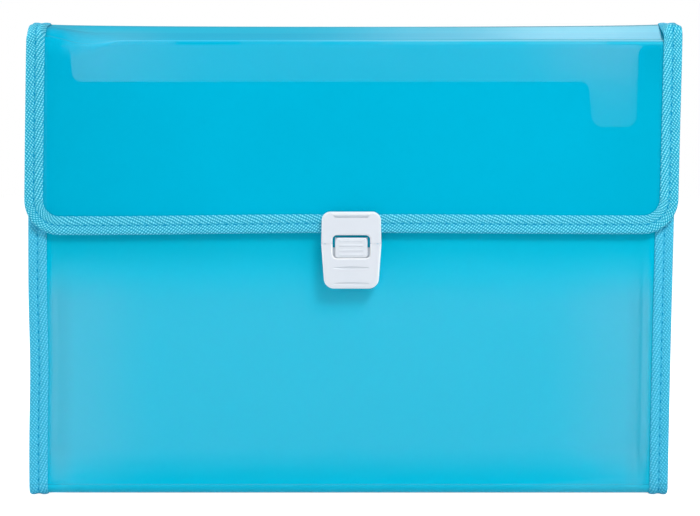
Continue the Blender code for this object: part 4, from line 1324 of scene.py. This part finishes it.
recess_outline = [
    (-8.7, RECESS_FOOT_Z, 0.5),
    (-9.8, RECESS_TOP_Z, 0),
    (9.8, RECESS_TOP_Z, 0),
    (8.7, RECESS_FOOT_Z, 0.5),
]
recess_height = RECESS_TOP_Z - RECESS_FOOT_Z
bend = (recess_height**2 + RECESS_DEPTH**2) / (2 * RECESS_DEPTH)
recess = block("recess", recess_outline, CLASP_FRONT_Y - OVERRUN, CLASP_FRONT_Y)
edit(recess)
slice_across(Z_AXIS, RECESS_FOOT_Z, RECESS_TOP_Z, RECESS_ROWS)
for number in range(RECESS_ROWS + 1):
    height = recess_height * number / RECESS_ROWS
    deep = bend - math.sqrt(bend**2 - (recess_height - height) ** 2)
    choose("VERT", lambda points: points[0].co.y > (CLASP_FRONT_Y - 0.1) * MM
           and abs(points[0].co.z / MM - RECESS_FOOT_Z - height) < recess_height / RECESS_ROWS / 2)
    bpy.ops.transform.translate(value=mm(0, deep + 0.01, 0))
drop_selection()
carve(upper_clasp, recess)
print("recess", round(recess_height, 1), "mm high, bent to a radius of", round(bend, 1), "mm")

# %% Prongs
TONGUE_FRONT_Y, TONGUE_BACK_Y = -17.05, -15.85
PRONG_INNER, PRONG_OUTER, PRONG_NECK = 9.9, 12.9, 11.2

for side in (-1, 1):
    prong = [
        (10.9, 120.3), (PRONG_OUTER, 120.3), (PRONG_OUTER, 131.15), (PRONG_INNER, 131.15),
        (PRONG_INNER, 128.1), (PRONG_NECK, 128.1), (PRONG_NECK, 123.8), (PRONG_INNER, 123.8),
        (PRONG_INNER, 121.3),
    ]
    root = [(PRONG_INNER, 130.9), (PRONG_OUTER, 130.9), (PRONG_OUTER, 133.8), (PRONG_INNER, 133.8)]
    for name, corners, first_y in (
        ("prong", prong, TONGUE_FRONT_Y), ("prong_root", root, INNER_WALL_Y - 0.2),
    ):
        corners = [(side * x, z, 0) for x, z in corners]
        carve(upper_clasp, block(name, corners, first_y, TONGUE_BACK_Y), "UNION")
paint_rim_highlight(upper_clasp, CLASP_FRONT_Y, [(137, 146.2)], above=UPPER_FOOT_Z + PARTING_ROUNDING)
finish_clasp(upper_clasp, "flap", "clasp_upper_shell")

# %% [markdown]
# ### Lower half
#
# The lower half sits on the front panel and tapers to its foot. Its window carries on from the upper
# half's, and two long shallow grooves cross its face. They are cut with long rounded forms, which
# leave soft ends.

# %% Lower shell
CLASP_FOOT_Z, FOOT_HALF_WIDTH = 107.5, 13.7
GROOVES_Z = (118.0, 110.0)

lower_corners = [
    (-FOOT_HALF_WIDTH, CLASP_FOOT_Z, 4.8),
    (-CLASP_HALF, LOWER_TOP_Z, 0),
    (-WINDOW_HALF, LOWER_TOP_Z, 0),
    (-WINDOW_HALF, WINDOW_FOOT_Z, WINDOW_ROUNDING),
    (WINDOW_HALF, WINDOW_FOOT_Z, WINDOW_ROUNDING),
    (WINDOW_HALF, LOWER_TOP_Z, 0),
    (CLASP_HALF, LOWER_TOP_Z, 0),
    (FOOT_HALF_WIDTH, CLASP_FOOT_Z, 4.8),
]
lower_clasp = block("clasp_lower", lower_corners, CLASP_FRONT_Y, LOWER_RIM_Y)
round_front(lower_clasp, EDGE_ROUNDING, lambda low, high: low < LOWER_TOP_Z - 0.05)
round_front(lower_clasp, PARTING_ROUNDING, lambda low, high: low > LOWER_TOP_Z - 0.05)
hollow = [(-12.8, 108.5, 3.6), (-14.2, 132, 0), (14.2, 132, 0), (12.8, 108.5, 3.6)]
carve(lower_clasp, block("lower_hollow", hollow, INNER_WALL_Y, LOWER_RIM_Y + OVERRUN))
for height in GROOVES_Z:
    carve(lower_clasp, bean("groove", (0, CLASP_FRONT_Y, height), 9.4, 0.7, 0.85))
paint_rim_highlight(lower_clasp, CLASP_FRONT_Y, [(height - 1, height + 1) for height in GROOVES_Z])
finish_clasp(lower_clasp, "front", "clasp_lower_shell")

# %% [markdown]
# ### Release button
#
# The button is a pad with four ribs for the thumb, on a springy tongue that turns about a bar at its
# foot. Its two ears hold the prongs until it is pressed. Pad, ribs, tongue and bar are simple forms
# that are joined into one.

# %% Release button
PAD_Y, PAD_HALF, PAD_FOOT_Z, PAD_TOP_Z = -20.65, 8.3, 123.4, 133.4
PIVOT_Z, PIVOT_Y = 109.75, -16.45
EAR_HALF, EAR_FOOT_Z, EAR_TOP_Z, STEM_HALF = 10.9, 124.1, 127.8, 5.2
RIB_PITCH, RIB_HALF = 2.4, 6.1

pad = [
    (-PAD_HALF, PAD_FOOT_Z, 1.5),
    (-PAD_HALF, PAD_TOP_Z, 2.1),
    (PAD_HALF, PAD_TOP_Z, 2.1),
    (PAD_HALF, PAD_FOOT_Z, 1.5),
]
button = block("clasp_button", pad, PAD_Y, TONGUE_FRONT_Y + 0.1)
round_front(button, 0.6, lambda low, high: True, front=PAD_Y)
for number in range(4):
    place = (0, PAD_Y + 0.12, (PAD_FOOT_Z + PAD_TOP_Z) / 2 + (number - 1.5) * RIB_PITCH)
    carve(button, bar("rib", place, 0.7, RIB_HALF, out=0.62), "UNION")
half_tongue = [
    (STEM_HALF, PIVOT_Z), (STEM_HALF, PAD_FOOT_Z), (PAD_HALF, PAD_FOOT_Z), (PAD_HALF, EAR_FOOT_Z),
    (EAR_HALF, EAR_FOOT_Z), (EAR_HALF, EAR_TOP_Z), (PAD_HALF, EAR_TOP_Z), (PAD_HALF, PAD_TOP_Z),
]
half_tongue += [(-x, z) for x, z in reversed(half_tongue)]
tongue = [(x, z, 0) for x, z in half_tongue]
carve(button, block("tongue", tongue, TONGUE_FRONT_Y, TONGUE_BACK_Y), "UNION")
carve(button, bar("pivot", (0, PIVOT_Y, PIVOT_Z), 1.1, 7.0), "UNION")
paint_rim_highlight(button, PAD_Y, [(PAD_FOOT_Z + 0.8, PAD_TOP_Z - 0.8)])
finish_clasp(button, "button", "clasp_release_button")

# %% [markdown]
# ## How the pieces move
#
# Each new sheet and tape rides on the part of the case that carries it, or bends between two of them
# at a crease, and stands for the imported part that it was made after. A sheet that was cut at the
# crease would open a gap there, so it stays whole, and only its points near the crease are shared.

# %% Rides and bends
for piece, finish in ((shell, cover_plastic), (flap, flap_plastic), (front, cover_plastic)):
    piece.data.materials.append(finish)

back_hinge = {"start": mm(0, 20.0, 236.5), "end": mm(0, 16.0, 242.5)}
flap_hinge = {"start": mm(0, -13.6, 233.4), "end": mm(0, -15.6, 230.6)}
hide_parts("cover_bottom_panel", "cover_back_panel", "cover_top_panel")
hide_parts("flap_panel")
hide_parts("cover_front_panel")
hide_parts("flap_binding")
for tape, word in zip(shell_tapes, ("left", "right")):
    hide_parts(f"bottom_binding_{word}", f"back_binding_{word}", f"top_binding_{word}")
for tape, word in zip(front_tapes, ("left", "right")):
    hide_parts(f"front_binding_{word}")
for piece in (shell, *shell_tapes):
    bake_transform(piece, "case", "lid_top", **back_hinge)
for piece in (flap, flap_tape):
    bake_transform(piece, "lid_top", "flap", **flap_hinge)
for piece in (front, *front_tapes):
    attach(piece, "front")

# %% [markdown]
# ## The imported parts
#
# What hardly shows needs no new shape: the dividers, the clasp's floor, backing plates and rivets
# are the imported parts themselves, in the finishes of their neighbours.

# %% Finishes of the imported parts
for name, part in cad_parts.items():
    finish = clasp_plastic
    if name.startswith("divider"):
        finish = frosted_plastic
    if name.startswith("gusset"):
        finish = film_plastic
    part.data.materials.clear()
    part.data.materials.append(finish)
print("packed parts", len(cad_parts))
